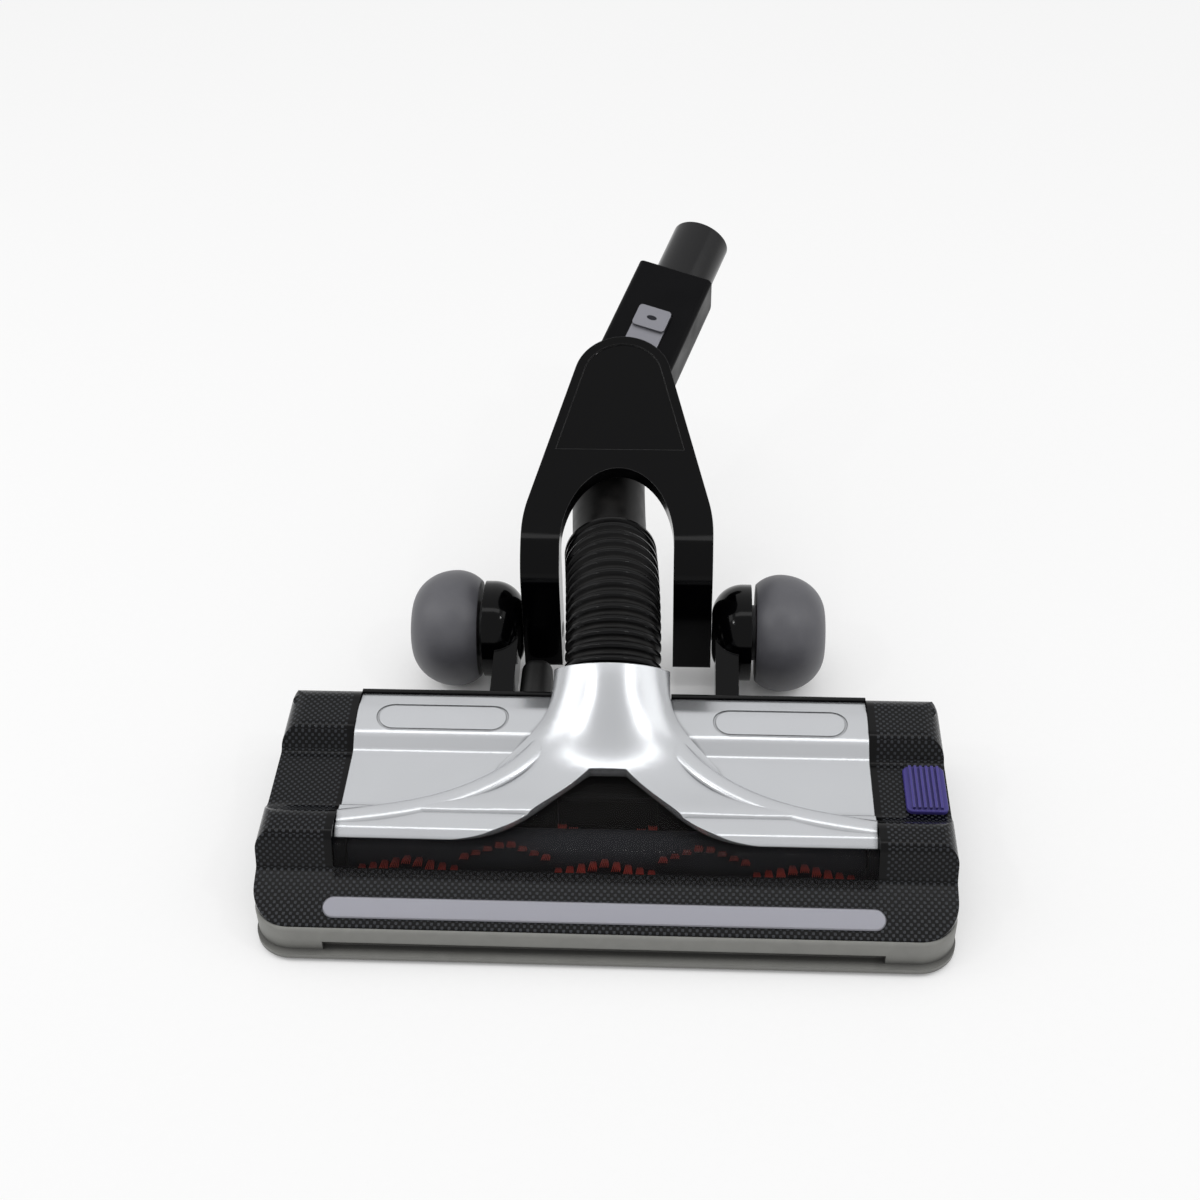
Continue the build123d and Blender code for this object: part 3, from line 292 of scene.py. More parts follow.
def carbon_film(name, dark, light, cell):
    """In-mould film on ABS: a plain-weave look of glossy and dark checks that follows each face."""
    material, tree, place = start_material(name)
    axes = add_node(tree, "SeparateXYZ", {0: place})
    facing = add_node(tree, "NewGeometry")
    size = add_node(tree, "VectorMath", {0: facing.outputs["True Normal"]}, operation="ABSOLUTE")
    lean = add_node(tree, "SeparateXYZ", {0: size.outputs["Vector"]})
    upright = add_node(tree, "Math", {0: lean.outputs[1], 1: lean.outputs[2]}, operation="GREATER_THAN")
    sideways = add_node(tree, "Math", {0: lean.outputs[0], 1: 0.7}, operation="GREATER_THAN")
    up = add_node(
        tree, "Mix", {0: upright.outputs[0], 2: axes.outputs[1], 3: axes.outputs[2]}, data_type="FLOAT"
    )
    along_side = add_node(
        tree, "Mix", {0: sideways.outputs[0], 2: axes.outputs[0], 3: axes.outputs[1]}, data_type="FLOAT"
    )
    up_side = add_node(
        tree, "Mix", {0: sideways.outputs[0], 2: up.outputs[0], 3: axes.outputs[2]}, data_type="FLOAT"
    )
    sheet = add_node(tree, "CombineXYZ", {0: along_side.outputs[0], 1: up_side.outputs[0]})
    turns = add_node(
        tree, "VectorMath", {0: sheet.outputs[0], "Scale": math.pi * per_mm(cell)}, operation="SCALE"
    )
    waves = add_node(tree, "VectorMath", {0: turns.outputs["Vector"]}, operation="SINE")
    crossed = add_node(tree, "SeparateXYZ", {0: waves.outputs["Vector"]})
    weave = add_node(tree, "Math", {0: crossed.outputs[0], 1: crossed.outputs[1]}, operation="MULTIPLY")
    checks = add_node(tree, "MapRange", {"Value": weave.outputs[0], "From Min": 0.1, "From Max": 0.5})
    # A plain gloss border runs along each end cap where it meets the silver cover
    reach = add_node(tree, "Math", {0: axes.outputs[0]}, operation="ABSOLUTE")
    outer = add_node(tree, "Math", {0: reach.outputs[0], 1: FILM_CAP}, operation="GREATER_THAN")
    # Between the caps only the sloping fascia has the film, not the walls behind the window
    rise = add_node(tree, "VectorMath", {0: place, 1: FASCIA_UP}, operation="DOT_PRODUCT")
    front = add_node(
        tree,
        "Math",
        {0: rise.outputs["Value"], 1: FASCIA_FOOT.dot(FASCIA_UP) - FILM_DEPTH},
        operation="GREATER_THAN",
    )
    low = add_node(tree, "Math", {0: axes.outputs[2], 1: FILM_TOP}, operation="LESS_THAN")
    fascia = add_node(tree, "Math", {0: front.outputs[0], 1: low.outputs[0]}, operation="MINIMUM")
    filmed = add_node(tree, "Math", {0: outer.outputs[0], 1: fascia.outputs[0]}, operation="MAXIMUM")
    shown = add_node(tree, "Math", {0: checks.outputs[0], 1: filmed.outputs[0]}, operation="MULTIPLY")
    tint = add_node(tree, "Mix", {0: shown.outputs[0], 6: dark, 7: light}, data_type="RGBA")
    gloss = add_node(tree, "MapRange", {"Value": shown.outputs[0], "To Min": 0.16, "To Max": 0.3})
    shader = add_node(
        tree,
        "BsdfPrincipled",
        {
            "Base Color": tint.outputs[2],
            "Roughness": gloss.outputs[0],
            "IOR": 1.5,
            "Specular IOR Level": 0.16,
            "Normal": relief(tree, shown.outputs[0], strength=0.25, depth=0.1, rounding=0.5),
        },
    )
    return end_material(material, tree, shader)


def smoked_clear(name, colour, solidity):
    """Smoke-tinted clear SAN: polished faces, a dark body that light still crosses, faint dust."""
    material, tree, place = start_material(name)
    dust = add_node(tree, "TexNoise", {"Vector": place, "Scale": per_mm(6), "Detail": 5.0})
    haze = add_node(
        tree,
        "MapRange",
        {"Value": dust.outputs["Fac"], "From Min": 0.4, "From Max": 0.8, "To Min": 0.02, "To Max": 0.035},
    )
    shader = add_node(
        tree,
        "BsdfPrincipled",
        {
            "Base Color": colour,
            "Roughness": haze.outputs[0],
            "IOR": 1.56,
            "Specular IOR Level": 0.16,
            "Alpha": solidity,
        },
    )
    return end_material(material, tree, shader)


def soft_rubber(name, colour, roughness, grain):
    """Thermoplastic rubber: dull, finely pebbled, with paler scuffs and painted shade in its seams."""
    material, tree, place = start_material(name)
    pebble = add_node(tree, "TexNoise", {"Vector": place, "Scale": per_mm(grain), "Detail": 3.0})
    scuff = add_node(
        tree, "TexNoise", {"Vector": place, "Scale": per_mm(9), "Detail": 6.0, "Distortion": 0.6}
    )
    shade = add_node(
        tree,
        "Mix",
        {0: scuff.outputs["Fac"], 6: shaded(colour, 0.85), 7: shaded(colour, 1.18)},
        data_type="RGBA",
    )
    dull = add_node(
        tree,
        "MapRange",
        {"Value": scuff.outputs["Fac"], "To Min": roughness - 0.08, "To Max": roughness + 0.12},
    )
    # Its colour carries painted shade in seams and grooves, from ambient occlusion
    shader = add_node(
        tree,
        "BsdfPrincipled",
        {
            "Base Color": seam_shaded(tree, shade.outputs[2], colour, 6),
            "Roughness": dull.outputs[0],
            "IOR": 1.51,
            "Normal": relief(tree, pebble.outputs["Fac"], strength=0.3, depth=0.08, rounding=0.6),
        },
    )
    return end_material(material, tree, shader)


def turned_metal(name, colour, roughness, groove):
    """Plated or bare metal off a lathe: fine rings along the axle and a soft stain."""
    material, tree, place = start_material(name)
    # A wave texture has 20 radians to the unit; grooves are drawn coarser than real ones so that they show
    rings = add_node(
        tree,
        "TexWave",
        {"Vector": place, "Scale": per_mm(groove) * math.tau / 20, "Distortion": 0.4, "Detail": 1.0},
        bands_direction="X",
    )
    stain = add_node(tree, "TexNoise", {"Vector": place, "Scale": per_mm(5), "Detail": 4.0})
    shade = add_node(
        tree,
        "Mix",
        {0: stain.outputs["Fac"], 6: shaded(colour, 0.85), 7: shaded(colour, 1.1)},
        data_type="RGBA",
    )
    dull = add_node(
        tree,
        "MapRange",
        {"Value": stain.outputs["Fac"], "To Min": roughness * 0.8, "To Max": roughness * 1.3},
    )
    bump = add_node(tree, "Bump", {"Strength": 0.12, "Distance": 0.02 * MM, "Height": rings.outputs["Fac"]})
    shader = add_node(
        tree,
        "BsdfPrincipled",
        {
            "Base Color": shade.outputs[2],
            "Metallic": 1.0,
            "Roughness": dull.outputs[0],
            "Normal": bump.outputs[0],
        },
    )
    return end_material(material, tree, shader)


def corrugated_vinyl(name, colour):
    """Blow-moulded vinyl hose: a satin, slightly uneven skin with grey dust in its roots."""
    material, tree, place = start_material(name)
    dust = add_node(tree, "TexNoise", {"Vector": place, "Scale": per_mm(7), "Detail": 6.0})
    depth = add_node(tree, "Attribute", attribute_name="root_depth")
    settled = add_node(
        tree, "Math", {0: dust.outputs["Fac"], 1: depth.outputs["Fac"]}, operation="MULTIPLY"
    )
    shade = add_node(
        tree,
        "Mix",
        {0: settled.outputs[0], 6: colour, 7: hex_colour("#1C1B1A")},
        data_type="RGBA",
    )
    dull = add_node(tree, "MapRange", {"Value": settled.outputs[0], "To Min": 0.2, "To Max": 0.55})
    skin = add_node(tree, "TexNoise", {"Vector": place, "Scale": per_mm(0.7), "Detail": 2.0})
    bump = add_node(tree, "Bump", {"Strength": 0.15, "Distance": 0.05 * MM, "Height": skin.outputs["Fac"]})
    shader = add_node(
        tree,
        "BsdfPrincipled",
        {
            "Base Color": shade.outputs[2],
            "Roughness": dull.outputs[0],
            "IOR": 1.53,
            "Specular IOR Level": 0.14,
            "Normal": bump.outputs[0],
        },
    )
    return end_material(material, tree, shader)


def nylon_bristle(name, root, tip, axis):
    """Dyed nylon filament round an axis along X: a waxy sheen, darker towards the root."""
    material, tree, place = start_material(name)
    dark_radius = 10.5 * MM
    pale_radius = 16.0 * MM
    spoke = add_node(tree, "VectorMath", {0: place, 1: (0.0, 1.0, 1.0)}, operation="MULTIPLY")
    reach = add_node(
        tree, "VectorMath", {0: spoke.outputs[0], 1: (0.0, axis.y, axis.z)}, operation="DISTANCE"
    )
    share = add_node(
        tree,
        "MapRange",
        {"Value": reach.outputs["Value"], "From Min": dark_radius, "From Max": pale_radius},
    )
    strand = add_node(tree, "TexNoise", {"Vector": place, "Scale": per_mm(1.2), "Detail": 1.0})
    shade = add_node(tree, "Mix", {0: share.outputs[0], 6: root, 7: tip}, data_type="RGBA")
    varied = add_node(
        tree,
        "HueSaturation",
        {"Color": shade.outputs[2], "Value": strand.outputs["Fac"], "Saturation": 1.1},
    )
    lifted = add_node(tree, "Mix", {0: 0.5, 6: varied.outputs[0], 7: shade.outputs[2]}, data_type="RGBA")
    shader = add_node(
        tree,
        "BsdfPrincipled",
        {"Base Color": lifted.outputs[2], "Roughness": 0.42, "IOR": 1.53, "Sheen Weight": 0.15},
    )
    return end_material(material, tree, shader)


def dress(material, *names):
    """Gives the CAD nodes of those names the material."""
    for name in names:
        node = frame["nodes"][name]
        for place in node.material_slots:
            place.material = material


def keep_only(*objects):
    """Selects these objects and makes the first the active one."""
    bpy.ops.object.select_all(action="DESELECT")
    for piece in objects:
        piece.select_set(True)
    bpy.context.view_layer.objects.active = objects[0]


def apply_modifier(piece, modifier):
    """Puts the modifier's result into the piece's mesh."""
    keep_only(piece)
    bpy.ops.object.modifier_apply(modifier=modifier.name)


def settle(piece):
    """Puts the piece's place into its mesh, so that the object sits at the origin."""
    keep_only(piece)
    bpy.ops.object.transform_apply(location=True, rotation=True, scale=True)


def merge_points(piece):
    """Merges the points that lie together and turns all faces outwards."""
    keep_only(piece)
    bpy.ops.object.mode_set(mode="EDIT")
    bpy.ops.mesh.select_all(action="SELECT")
    bpy.ops.mesh.remove_doubles(threshold=MERGE)
    bpy.ops.mesh.normals_make_consistent(inside=False)
    bpy.ops.object.mode_set(mode="OBJECT")


def smooth(piece, sharp):
    """Shades the piece smooth, apart from edges that turn by more than that many degrees."""
    keep_only(piece)
    bpy.ops.object.shade_smooth_by_angle(angle=math.radians(sharp))


def name_piece(piece, name):
    """Names the piece and its mesh alike."""
    piece.name = name
    piece.data.name = name


def colour_property(name, description, text):
    """A colour setting with that hex value as its default."""
    return FloatVectorProperty(
        name=name, description=description, subtype="COLOR", size=4, default=hex_colour(text)
    )


def length_property(name, description, size):
    """A length setting with that size in millimetres as its default."""
    return FloatProperty(name=name, description=description, default=size * MM, unit="LENGTH")


class HoseSettings(bpy.types.PropertyGroup):
    ring_radius: length_property("Ring radius", "Outside radius of a hose ring", 22.2)
    root_radius: length_property("Root radius", "Radius between two rings", 20.0)
    smooth_radius: length_property("Smooth radius", "Radius of the plain upper end", 18.0)
    wall: length_property("Wall", "Wall thickness of the hose", 1.6)
    pitch: length_property("Pitch", "Distance from ring to ring", 5.2)
    step_in: length_property("Step in", "Length of the cone to the plain end", 2.5)
    rings: IntProperty(name="Rings", description="Number of rings on the lower part", default=14, min=4)
    lead: length_property("Lead", "Length of the first bend's tangent", 34)
    colour: colour_property("Hose colour", "Colour of the vinyl", "#050506")


class BrushSettings(bpy.types.PropertyGroup):
    tuft_pitch: length_property("Tuft pitch", "Distance between tufts of a row", 5.0)
    chevron: length_property("Chevron length", "Length of one V of tufts", 42.0)
    slope: FloatProperty(
        name="Slope", description="Turn of a row for each millimetre outwards, in degrees", default=1.35
    )
    front_apex: FloatProperty(
        name="Front apex",
        description="Turn of the tip of every other V",
        default=math.radians(60),
        subtype="ANGLE",
    )
    top_apex: FloatProperty(
        name="Top apex",
        description="Turn of the tips between those",
        default=math.radians(28),
        subtype="ANGLE",
    )
    rows: IntProperty(name="Rows", description="Rows of tufts round the roll", default=2, min=1)
    fibres: IntProperty(name="Fibres", description="Fibres in one tuft", default=14, min=4)
    core_radius: length_property("Core radius", "Radius where the tufts stand", 10.0)
    tip_radius: length_property("Tip radius", "Radius that the tips reach", 16.4)
    root_colour: colour_property("Root colour", "Bristles near the core", "#A02820")
    tip_colour: colour_property("Tip colour", "Bristles at their tips", "#E8503C")


class ShellSettings(bpy.types.PropertyGroup):
    check_dark: colour_property("Dark checks", "Dark checks of the film", "#030304")
    check_light: colour_property("Light checks", "Light checks of the film", "#34363A")
    check_size: length_property("Check size", "Side of one check", 1.5)
    silver: colour_property("Silver", "Lacquer of the cover and the fairing", "#C4C6C9")
    strip: colour_property("Strip", "Lacquer of the front strip", "#888890")
    smoke: colour_property("Smoke", "Tint of the window", "#0A0808")
    solidity: FloatProperty(
        name="Solidity", description="Share of light that the window stops", default=0.22, subtype="FACTOR"
    )
    rim_half_width: length_property("Rim half width", "Half the width of the rims", 4.8)
    rim_half_height: length_property("Rim half height", "Half the height of the rims", 2.5)
    bumper: colour_property("Bumper", "Rubber of the bumper", "#82827E")
    black: colour_property("Black", "Gloss black plastic", "#030304")
    wheel: colour_property("Wheel", "Rubber of the wheels", "#57575C")
    latch: colour_property("Latch", "Plastic of the latch", "#423A84")


class StageSettings(bpy.types.PropertyGroup):
    floor_size: FloatProperty(
        name="Floor size", description="Side of the floor", default=6.0, unit="LENGTH"
    )
    left_power: FloatProperty(
        name="Left power", description="Power of the left softbox", default=2.3, unit="POWER"
    )
    right_power: FloatProperty(
        name="Right power", description="Power of the right softbox", default=1.4, unit="POWER"
    )
    top_power: FloatProperty(
        name="Top power", description="Power of the strip overhead", default=2.0, unit="POWER"
    )
    spark_power: FloatProperty(
        name="Spark power", description="Power of each small lamp", default=0.8, unit="POWER"
    )
    ambient: FloatProperty(name="Ambient", description="Level of the light from all round", default=0.58)
    table_light: FloatProperty(
        name="Table light", description="Share of the floor lit from below", default=0.75, subtype="FACTOR"
    )
    lens: FloatProperty(name="Lens", description="Focal length of the camera", default=51.825, unit="CAMERA")


class FLOORHEAD_OT_hose(bpy.types.Operator):
    """Models the ribbed hose from one rib and its plain upper end, and bends both along its path"""

    bl_idname = "floorhead.hose"
    bl_label = "Corrugated hose"

    def path(self, lead):
        """The hose's line as a curve of two bends, with the join and its direction."""
        span = CUFF - THROAT
        lead_out = (span.dot(span) / 2 - lead * span.dot(THROAT_WAY)) / (
            span.dot(CUFF_WAY) - lead * (THROAT_WAY.dot(CUFF_WAY) - 1)
        )
        first = THROAT + lead * THROAT_WAY
        second = CUFF - lead_out * CUFF_WAY
        middle = (first * lead_out + second * lead) / (lead + lead_out)
        middle_way = (second - first).normalized()
        turn_in = THROAT_WAY.angle(middle_way)
        turn_out = middle_way.angle(CUFF_WAY)
        # Handles that make each bend a round arc
        reach_in = lead * 4 / 3 * math.tan(turn_in / 4) / math.tan(turn_in / 2)
        reach_out = lead_out * 4 / 3 * math.tan(turn_out / 4) / math.tan(turn_out / 2)
        bpy.ops.curve.primitive_bezier_curve_add()
        curve = bpy.context.object
        spline = curve.data.splines[0]
        spline.bezier_points.add(1)
        stations = (
            (THROAT, THROAT_WAY, reach_in, reach_in),
            (middle, middle_way, reach_in, reach_out),
            (CUFF, CUFF_WAY, reach_out, reach_out),
        )
        for point, (place, way, before, after) in zip(spline.bezier_points, stations):
            point.handle_left_type = "FREE"
            point.handle_right_type = "FREE"
            point.co = place
            point.handle_left = place - before * way
            point.handle_right = place + after * way
        spline.resolution_u = 64
        return curve, middle, middle_way, spline.calc_length()

    def ring_run(self, radius, steps, start):
        """A tube along X, drawn out ring by ring from a circle."""
        bpy.ops.mesh.primitive_circle_add(
            vertices=72, radius=radius, location=(start, 0, 0), rotation=(0, math.pi / 2, 0)
        )
        tube = bpy.context.object
        settle(tube)
        bpy.ops.object.mode_set(mode="EDIT")
        bpy.ops.mesh.select_all(action="SELECT")
        here = start
        for step, scale in steps:
            bpy.ops.mesh.extrude_region_move(TRANSFORM_OT_translate={"value": (step, 0, 0)})
            here += step
            bpy.ops.transform.resize(value=(1, scale, scale), center_override=(here, 0, 0))
        bpy.ops.object.mode_set(mode="OBJECT")
        return tube

    def ribbed(self, settings):
        """A rib with rounded shoulders, repeated along X."""
        pitch = settings.pitch
        root = settings.root_radius
        # Up one side of a rib: the share of the pitch and the share of the rib's height
        rise = ((0.0, 0.0), (0.10, 0.0), (0.20, 0.18), (0.27, 0.75), (0.36, 1.0))
        shape = rise + tuple((1 - along, height) for along, height in reversed(rise))
        radii = [root + height * (settings.ring_radius - root) for _, height in shape]
        steps = []
        for low, high, before, after in zip(shape, shape[1:], radii, radii[1:]):
            steps.append(((high[0] - low[0]) * pitch, after / before))
        tube = self.ring_run(root, steps, start=0.0)
        array = tube.modifiers.new("rings", "ARRAY")
        array.count = settings.rings
        array.use_relative_offset = False
        array.use_constant_offset = True
        array.constant_offset_displace = (pitch, 0, 0)
        array.use_merge_vertices = True
        array.merge_threshold = MERGE
        apply_modifier(tube, array)
        return tube

    def bend(self, tube, curve, settings, name):
        """Marks the roots for the dust, thickens the wall and bends the tube along the curve."""
        depth = tube.data.attributes.new("root_depth", "FLOAT", "POINT")
        rib_height = settings.ring_radius - settings.root_radius
        for vertex, value in zip(tube.data.vertices, depth.data):
            below = settings.ring_radius - math.hypot(vertex.co.y, vertex.co.z)
            value.value = min(1.0, max(0.0, below / rib_height))
        merge_points(tube)
        solid = tube.modifiers.new("wall", "SOLIDIFY")
        solid.thickness = settings.wall
        solid.offset = -1
        apply_modifier(tube, solid)
        follow = tube.modifiers.new("path", "CURVE")
        follow.object = curve
        follow.deform_axis = "POS_X"
        apply_modifier(tube, follow)
        smooth(tube, sharp=50)
        name_piece(tube, name)

    def execute(self, context):
        settings = context.scene.floor_head_hose
        curve, middle, middle_way, length = self.path(settings.lead)
        lower = self.ribbed(settings)
        self.bend(lower, curve, settings, "hose_ribbed")
        seam = settings.rings * settings.pitch
        plain_steps = 24
        plain_step = (length - seam - settings.step_in) / plain_steps
        steps = [(settings.step_in, settings.smooth_radius / settings.root_radius)]
        steps += [(plain_step, 1.0)] * plain_steps
        upper = self.ring_run(settings.root_radius, steps, start=seam)
        self.bend(upper, curve, settings, "hose_plain")
        bpy.data.objects.remove(curve)
        vinyl = corrugated_vinyl("blow_moulded_vinyl", settings.colour)
        for piece in (lower, upper):
            piece.data.materials.append(vinyl)
            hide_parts("hose")
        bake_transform(lower)
        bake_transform(upper)
        return {"FINISHED"}


class FLOORHEAD_OT_bristles(bpy.types.Operator):
    """Models one fibre, gathers a tuft of them and sets the tufts in short V rows round the roll"""

    bl_idname = "floorhead.bristles"
    bl_label = "Bristles"

    def tuft(self, settings):
        """A tuft along +Z from the core, its fibres splayed and cut a little unevenly."""
        root_thickness = 0.48 * MM
        tip_thickness = 0.3 * MM
        width = 2.6 * MM
        splay = 1.1 * MM
        row_step = 0.55 * MM
        row_splay = 0.6
        trimmed = 0.05
        golden_share = 0.618034
        length = settings.tip_radius - settings.core_radius
        fibres = []
        for index in range(settings.fibres):
            share = index / (settings.fibres - 1) - 0.5
            row = (index % 3 - 1) * row_step
            depth = length * (1 - trimmed * (index * golden_share % 1))
            bpy.ops.mesh.primitive_cone_add(
                vertices=5,
                radius1=root_thickness / 2,
                radius2=tip_thickness / 2,
                depth=depth,
                location=(share * width, row, settings.core_radius + depth / 2),
            )
            fibre = bpy.context.object
            bpy.ops.object.mode_set(mode="EDIT")
            bpy.ops.mesh.select_all(action="DESELECT")
            bpy.ops.object.mode_set(mode="OBJECT")
            for vertex in fibre.data.vertices:
                vertex.select = vertex.co.z > 0
            bpy.ops.object.mode_set(mode="EDIT")
            bpy.ops.transform.translate(value=(share * splay, row * row_splay, 0))
            bpy.ops.object.mode_set(mode="OBJECT")
            fibres.append(fibre)
        keep_only(*fibres)
        bpy.ops.object.join()
        tuft = bpy.context.object
        settle(tuft)
        return tuft

    def execute(self, context):
        settings = context.scene.floor_head_brush
        axis = middle_of("brush_core")
        model = self.tuft(settings)
        end_margin = 1.5 * MM
        count = int((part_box("bristles")[1][0] - end_margin) / settings.tuft_pitch)
        copies = []
        for row in range(settings.rows):
            for tuft in range(-count, count + 1):
                x = tuft * settings.tuft_pitch
                chevron = round(x / settings.chevron)
                apex = settings.top_apex if chevron % 2 else settings.front_apex
                out = abs(x - chevron * settings.chevron) / MM
                turn = apex + math.radians(settings.slope * out) + row * math.tau / settings.rows
                copy = model.copy()
                copy.data = model.data.copy()
                copy.data.transform(
                    Matrix.Translation((x, axis.y, axis.z)) @ Matrix.Rotation(turn, 4, "X")
                )
                context.collection.objects.link(copy)
                copies.append(copy)
        bpy.data.objects.remove(model)
        keep_only(*copies)
        bpy.ops.object.join()
        bristles = bpy.context.object
        name_piece(bristles, "brush_tufts")
        nylon = nylon_bristle("dyed_nylon", settings.root_colour, settings.tip_colour, axis)
        bristles.data.materials.append(nylon)
        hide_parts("bristles")
        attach(bristles, "brush")
        return {"FINISHED"}


class FLOORHEAD_OT_button_mark(bpy.types.Operator):
    """Sets a small dark oval into the release button's raised step"""

    bl_idname = "floorhead.button_mark"
    bl_label = "Button mark"

    def execute(self, context):
        radius = 1.3 * MM
        thickness = 0.4 * MM
        stretch = 2.0
        rim_width = 0.15 * MM
        # Its place from the neck's origin, along the neck and above it
        along = 39.5 * MM
        above = 23.2 * MM
        bpy.ops.mesh.primitive_cylinder_add(vertices=40, radius=radius, depth=thickness)
        mark = bpy.context.object
        bpy.ops.object.mode_set(mode="EDIT")
        bpy.ops.mesh.select_all(action="SELECT")
        bpy.ops.transform.resize(value=(stretch, 1.0, 1.0))
        bpy.ops.object.mode_set(mode="OBJECT")
        rim = mark.modifiers.new("rim", "BEVEL")
        rim.width = rim_width
        rim.segments = 3
        apply_modifier(mark, rim)
        smooth(mark, sharp=40)
        side = NECK_WAY.cross(NECK_UP)
        turn = Matrix((side, NECK_WAY, NECK_UP)).transposed().to_4x4()
        place = NECK_ORIGIN + along * NECK_WAY + above * NECK_UP
        mark.matrix_world = Matrix.Translation(place) @ turn
        settle(mark)
        name_piece(mark, "button_mark")
        inlay = moulded_plastic(
            "dark_inlay", hex_colour("#2B2B30"), roughness=0.45, grain=0.6, depth=0.03, wear_and_highlight=0.1
        )
        mark.data.materials.append(inlay)
        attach(mark, "button")
        return {"FINISHED"}


class FLOORHEAD_OT_sweep_rims(bpy.types.Operator):
    """Runs a raised rim along each sweep of the silver fairing, from the throat to the end caps"""

    bl_idname = "floorhead.sweep_rims"
    bl_label = "Sweep rims"

    def execute(self, context):
        colours = context.scene.floor_head_shell
        bpy.ops.curve.primitive_nurbs_circle_add(radius=1.0)
        section = bpy.context.object
        bpy.ops.object.mode_set(mode="EDIT")
        bpy.ops.curve.select_all(action="SELECT")
        bpy.ops.transform.resize(value=(colours.rim_half_width, colours.rim_half_height, 1.0))
        bpy.ops.object.mode_set(mode="OBJECT")
        bpy.ops.curve.primitive_nurbs_path_add()
        rims = bpy.context.object
        line = rims.data.splines[0]
        line.points.add(len(SWEEP) - len(line.points))
        for point, place in zip(line.points, SWEEP):
            point.co = (*(Vector(place) * MM), 1.0)
        line.order_u = 4
        line.use_endpoint_u = True
        line.resolution_u = 20
        rims.data.twist_mode = "Z_UP"
        rims.data.bevel_mode = "OBJECT"
        rims.data.bevel_object = section
        rims.data.use_fill_caps = True
        keep_only(rims)
        bpy.ops.object.convert(target="MESH")
        apply_modifier(rims, rims.modifiers.new("other side", "MIRROR"))
        merge_points(rims)
        smooth(rims, sharp=40)
        bpy.data.objects.remove(section)
        name_piece(rims, "sweep_rims")
        rims.data.materials.append(bpy.data.materials["silver_lacquer"])
        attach(rims, "head")
        return {"FINISHED"}


class FLOORHEAD_OT_shell_finish(bpy.types.Operator):
    """Gives the head's outer pieces their film, lacquer, rubber and clear plastic"""

    bl_idname = "floorhead.shell_finish"
    bl_label = "Shell finish"

    def execute(self, context):
        colours = context.scene.floor_head_shell
        cell = colours.check_size / MM
        film = carbon_film("carbon_look_film", colours.check_dark, colours.check_light, cell)
        dress(film, "upper_housing")
        silver = metallic_paint("silver_lacquer", colours.silver, roughness=0.26, metallic=0.8, grain=0.35)
        dress(silver, "top_cover", "throat_fairing")
        strip = metallic_paint(
            "lilac_silver_lacquer", colours.strip, roughness=0.32, metallic=0.6, grain=0.35
        )
        dress(strip, "front_strip")
        grey = hex_colour("#85858C")
        button = metallic_paint("button_lacquer", grey, roughness=0.36, metallic=0.5, grain=0.35)
        dress(button, "release_button")
        dress(smoked_clear("smoked_san", colours.smoke, colours.solidity), "window")
        dress(soft_rubber("bumper_rubber", colours.bumper, roughness=0.55, grain=0.8), "bumper")
        base = moulded_plastic(
            "base_plate_abs", hex_colour("#141415"), roughness=0.5, grain=0.8, depth=0.06, wear_and_highlight=0.5
        )
        dress(base, "base_plate")
        # Its paler rib tops and edges are wear and a painted highlight
        acetal = moulded_plastic(
            "latch_acetal", colours.latch, roughness=0.34, grain=0.7, depth=0.03, wear_and_highlight=0.9, shine=0.3
        )
        dress(acetal, "latch")
        return {"FINISHED"}


class FLOORHEAD_OT_neck_finish(bpy.types.Operator):
    """Gives the fork, the neck and the pieces round the hose their black plastics"""

    bl_idname = "floorhead.neck_finish"
    bl_label = "Neck finish"

    def execute(self, context):
        black = context.scene.floor_head_shell.black
        # Its paler edges are mostly a painted highlight along the rims, with a little wear
        gloss = moulded_plastic(
            "fork_gloss_abs", black, roughness=0.1, grain=0.9, depth=0.004, wear_and_highlight=0.7, shine=0.1
        )
        dress(gloss, "fork")
        satin = moulded_plastic(
            "neck_satin_abs", hex_colour("#0A0A0C"), roughness=0.36, grain=0.7, depth=0.03, wear_and_highlight=0.4
        )
        dress(satin, "neck_upper_shell", "neck_lower_shell", "swivel_pin")
        tube = moulded_plastic(
            "spigot_abs", hex_colour("#0E0E10"), roughness=0.2, grain=0.8, depth=0.01, wear_and_highlight=0.5, shine=0.3
        )
        dress(tube, "spigot")
        collar = moulded_plastic(
            "collar_abs", hex_colour("#090909"), roughness=0.42, grain=0.8, depth=0.03, wear_and_highlight=0.3
        )
        dress(collar, "hose_collar", "hose_cuff")
        dress(soft_rubber("boot_rubber", hex_colour("#111111"), roughness=0.5, grain=0.9), "cable_boot")
        return {"FINISHED"}


class FLOORHEAD_OT_springs(bpy.types.Operator):
    """Makes merged, smooth-shaded copies of the latch spring and the button spring and hides their nodes"""

    bl_idname = "floorhead.springs"
    bl_label = "Springs"

    def copy_of(self, node, name):
        """A merged copy of a spring that stands for its node."""
        keep_only(frame["nodes"][node])
        bpy.ops.object.duplicate()
        spring = bpy.context.object
        bpy.ops.object.parent_clear(type="CLEAR_KEEP_TRANSFORM")
        settle(spring)
        merge_points(spring)
        smooth(spring, sharp=40)
        name_piece(spring, name)
        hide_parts(node)
        return spring

    def execute(self, context):
        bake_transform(self.copy_of("latch_spring", "latch_coil"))
        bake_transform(self.copy_of("button_spring", "button_coil"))
        return {"FINISHED"}


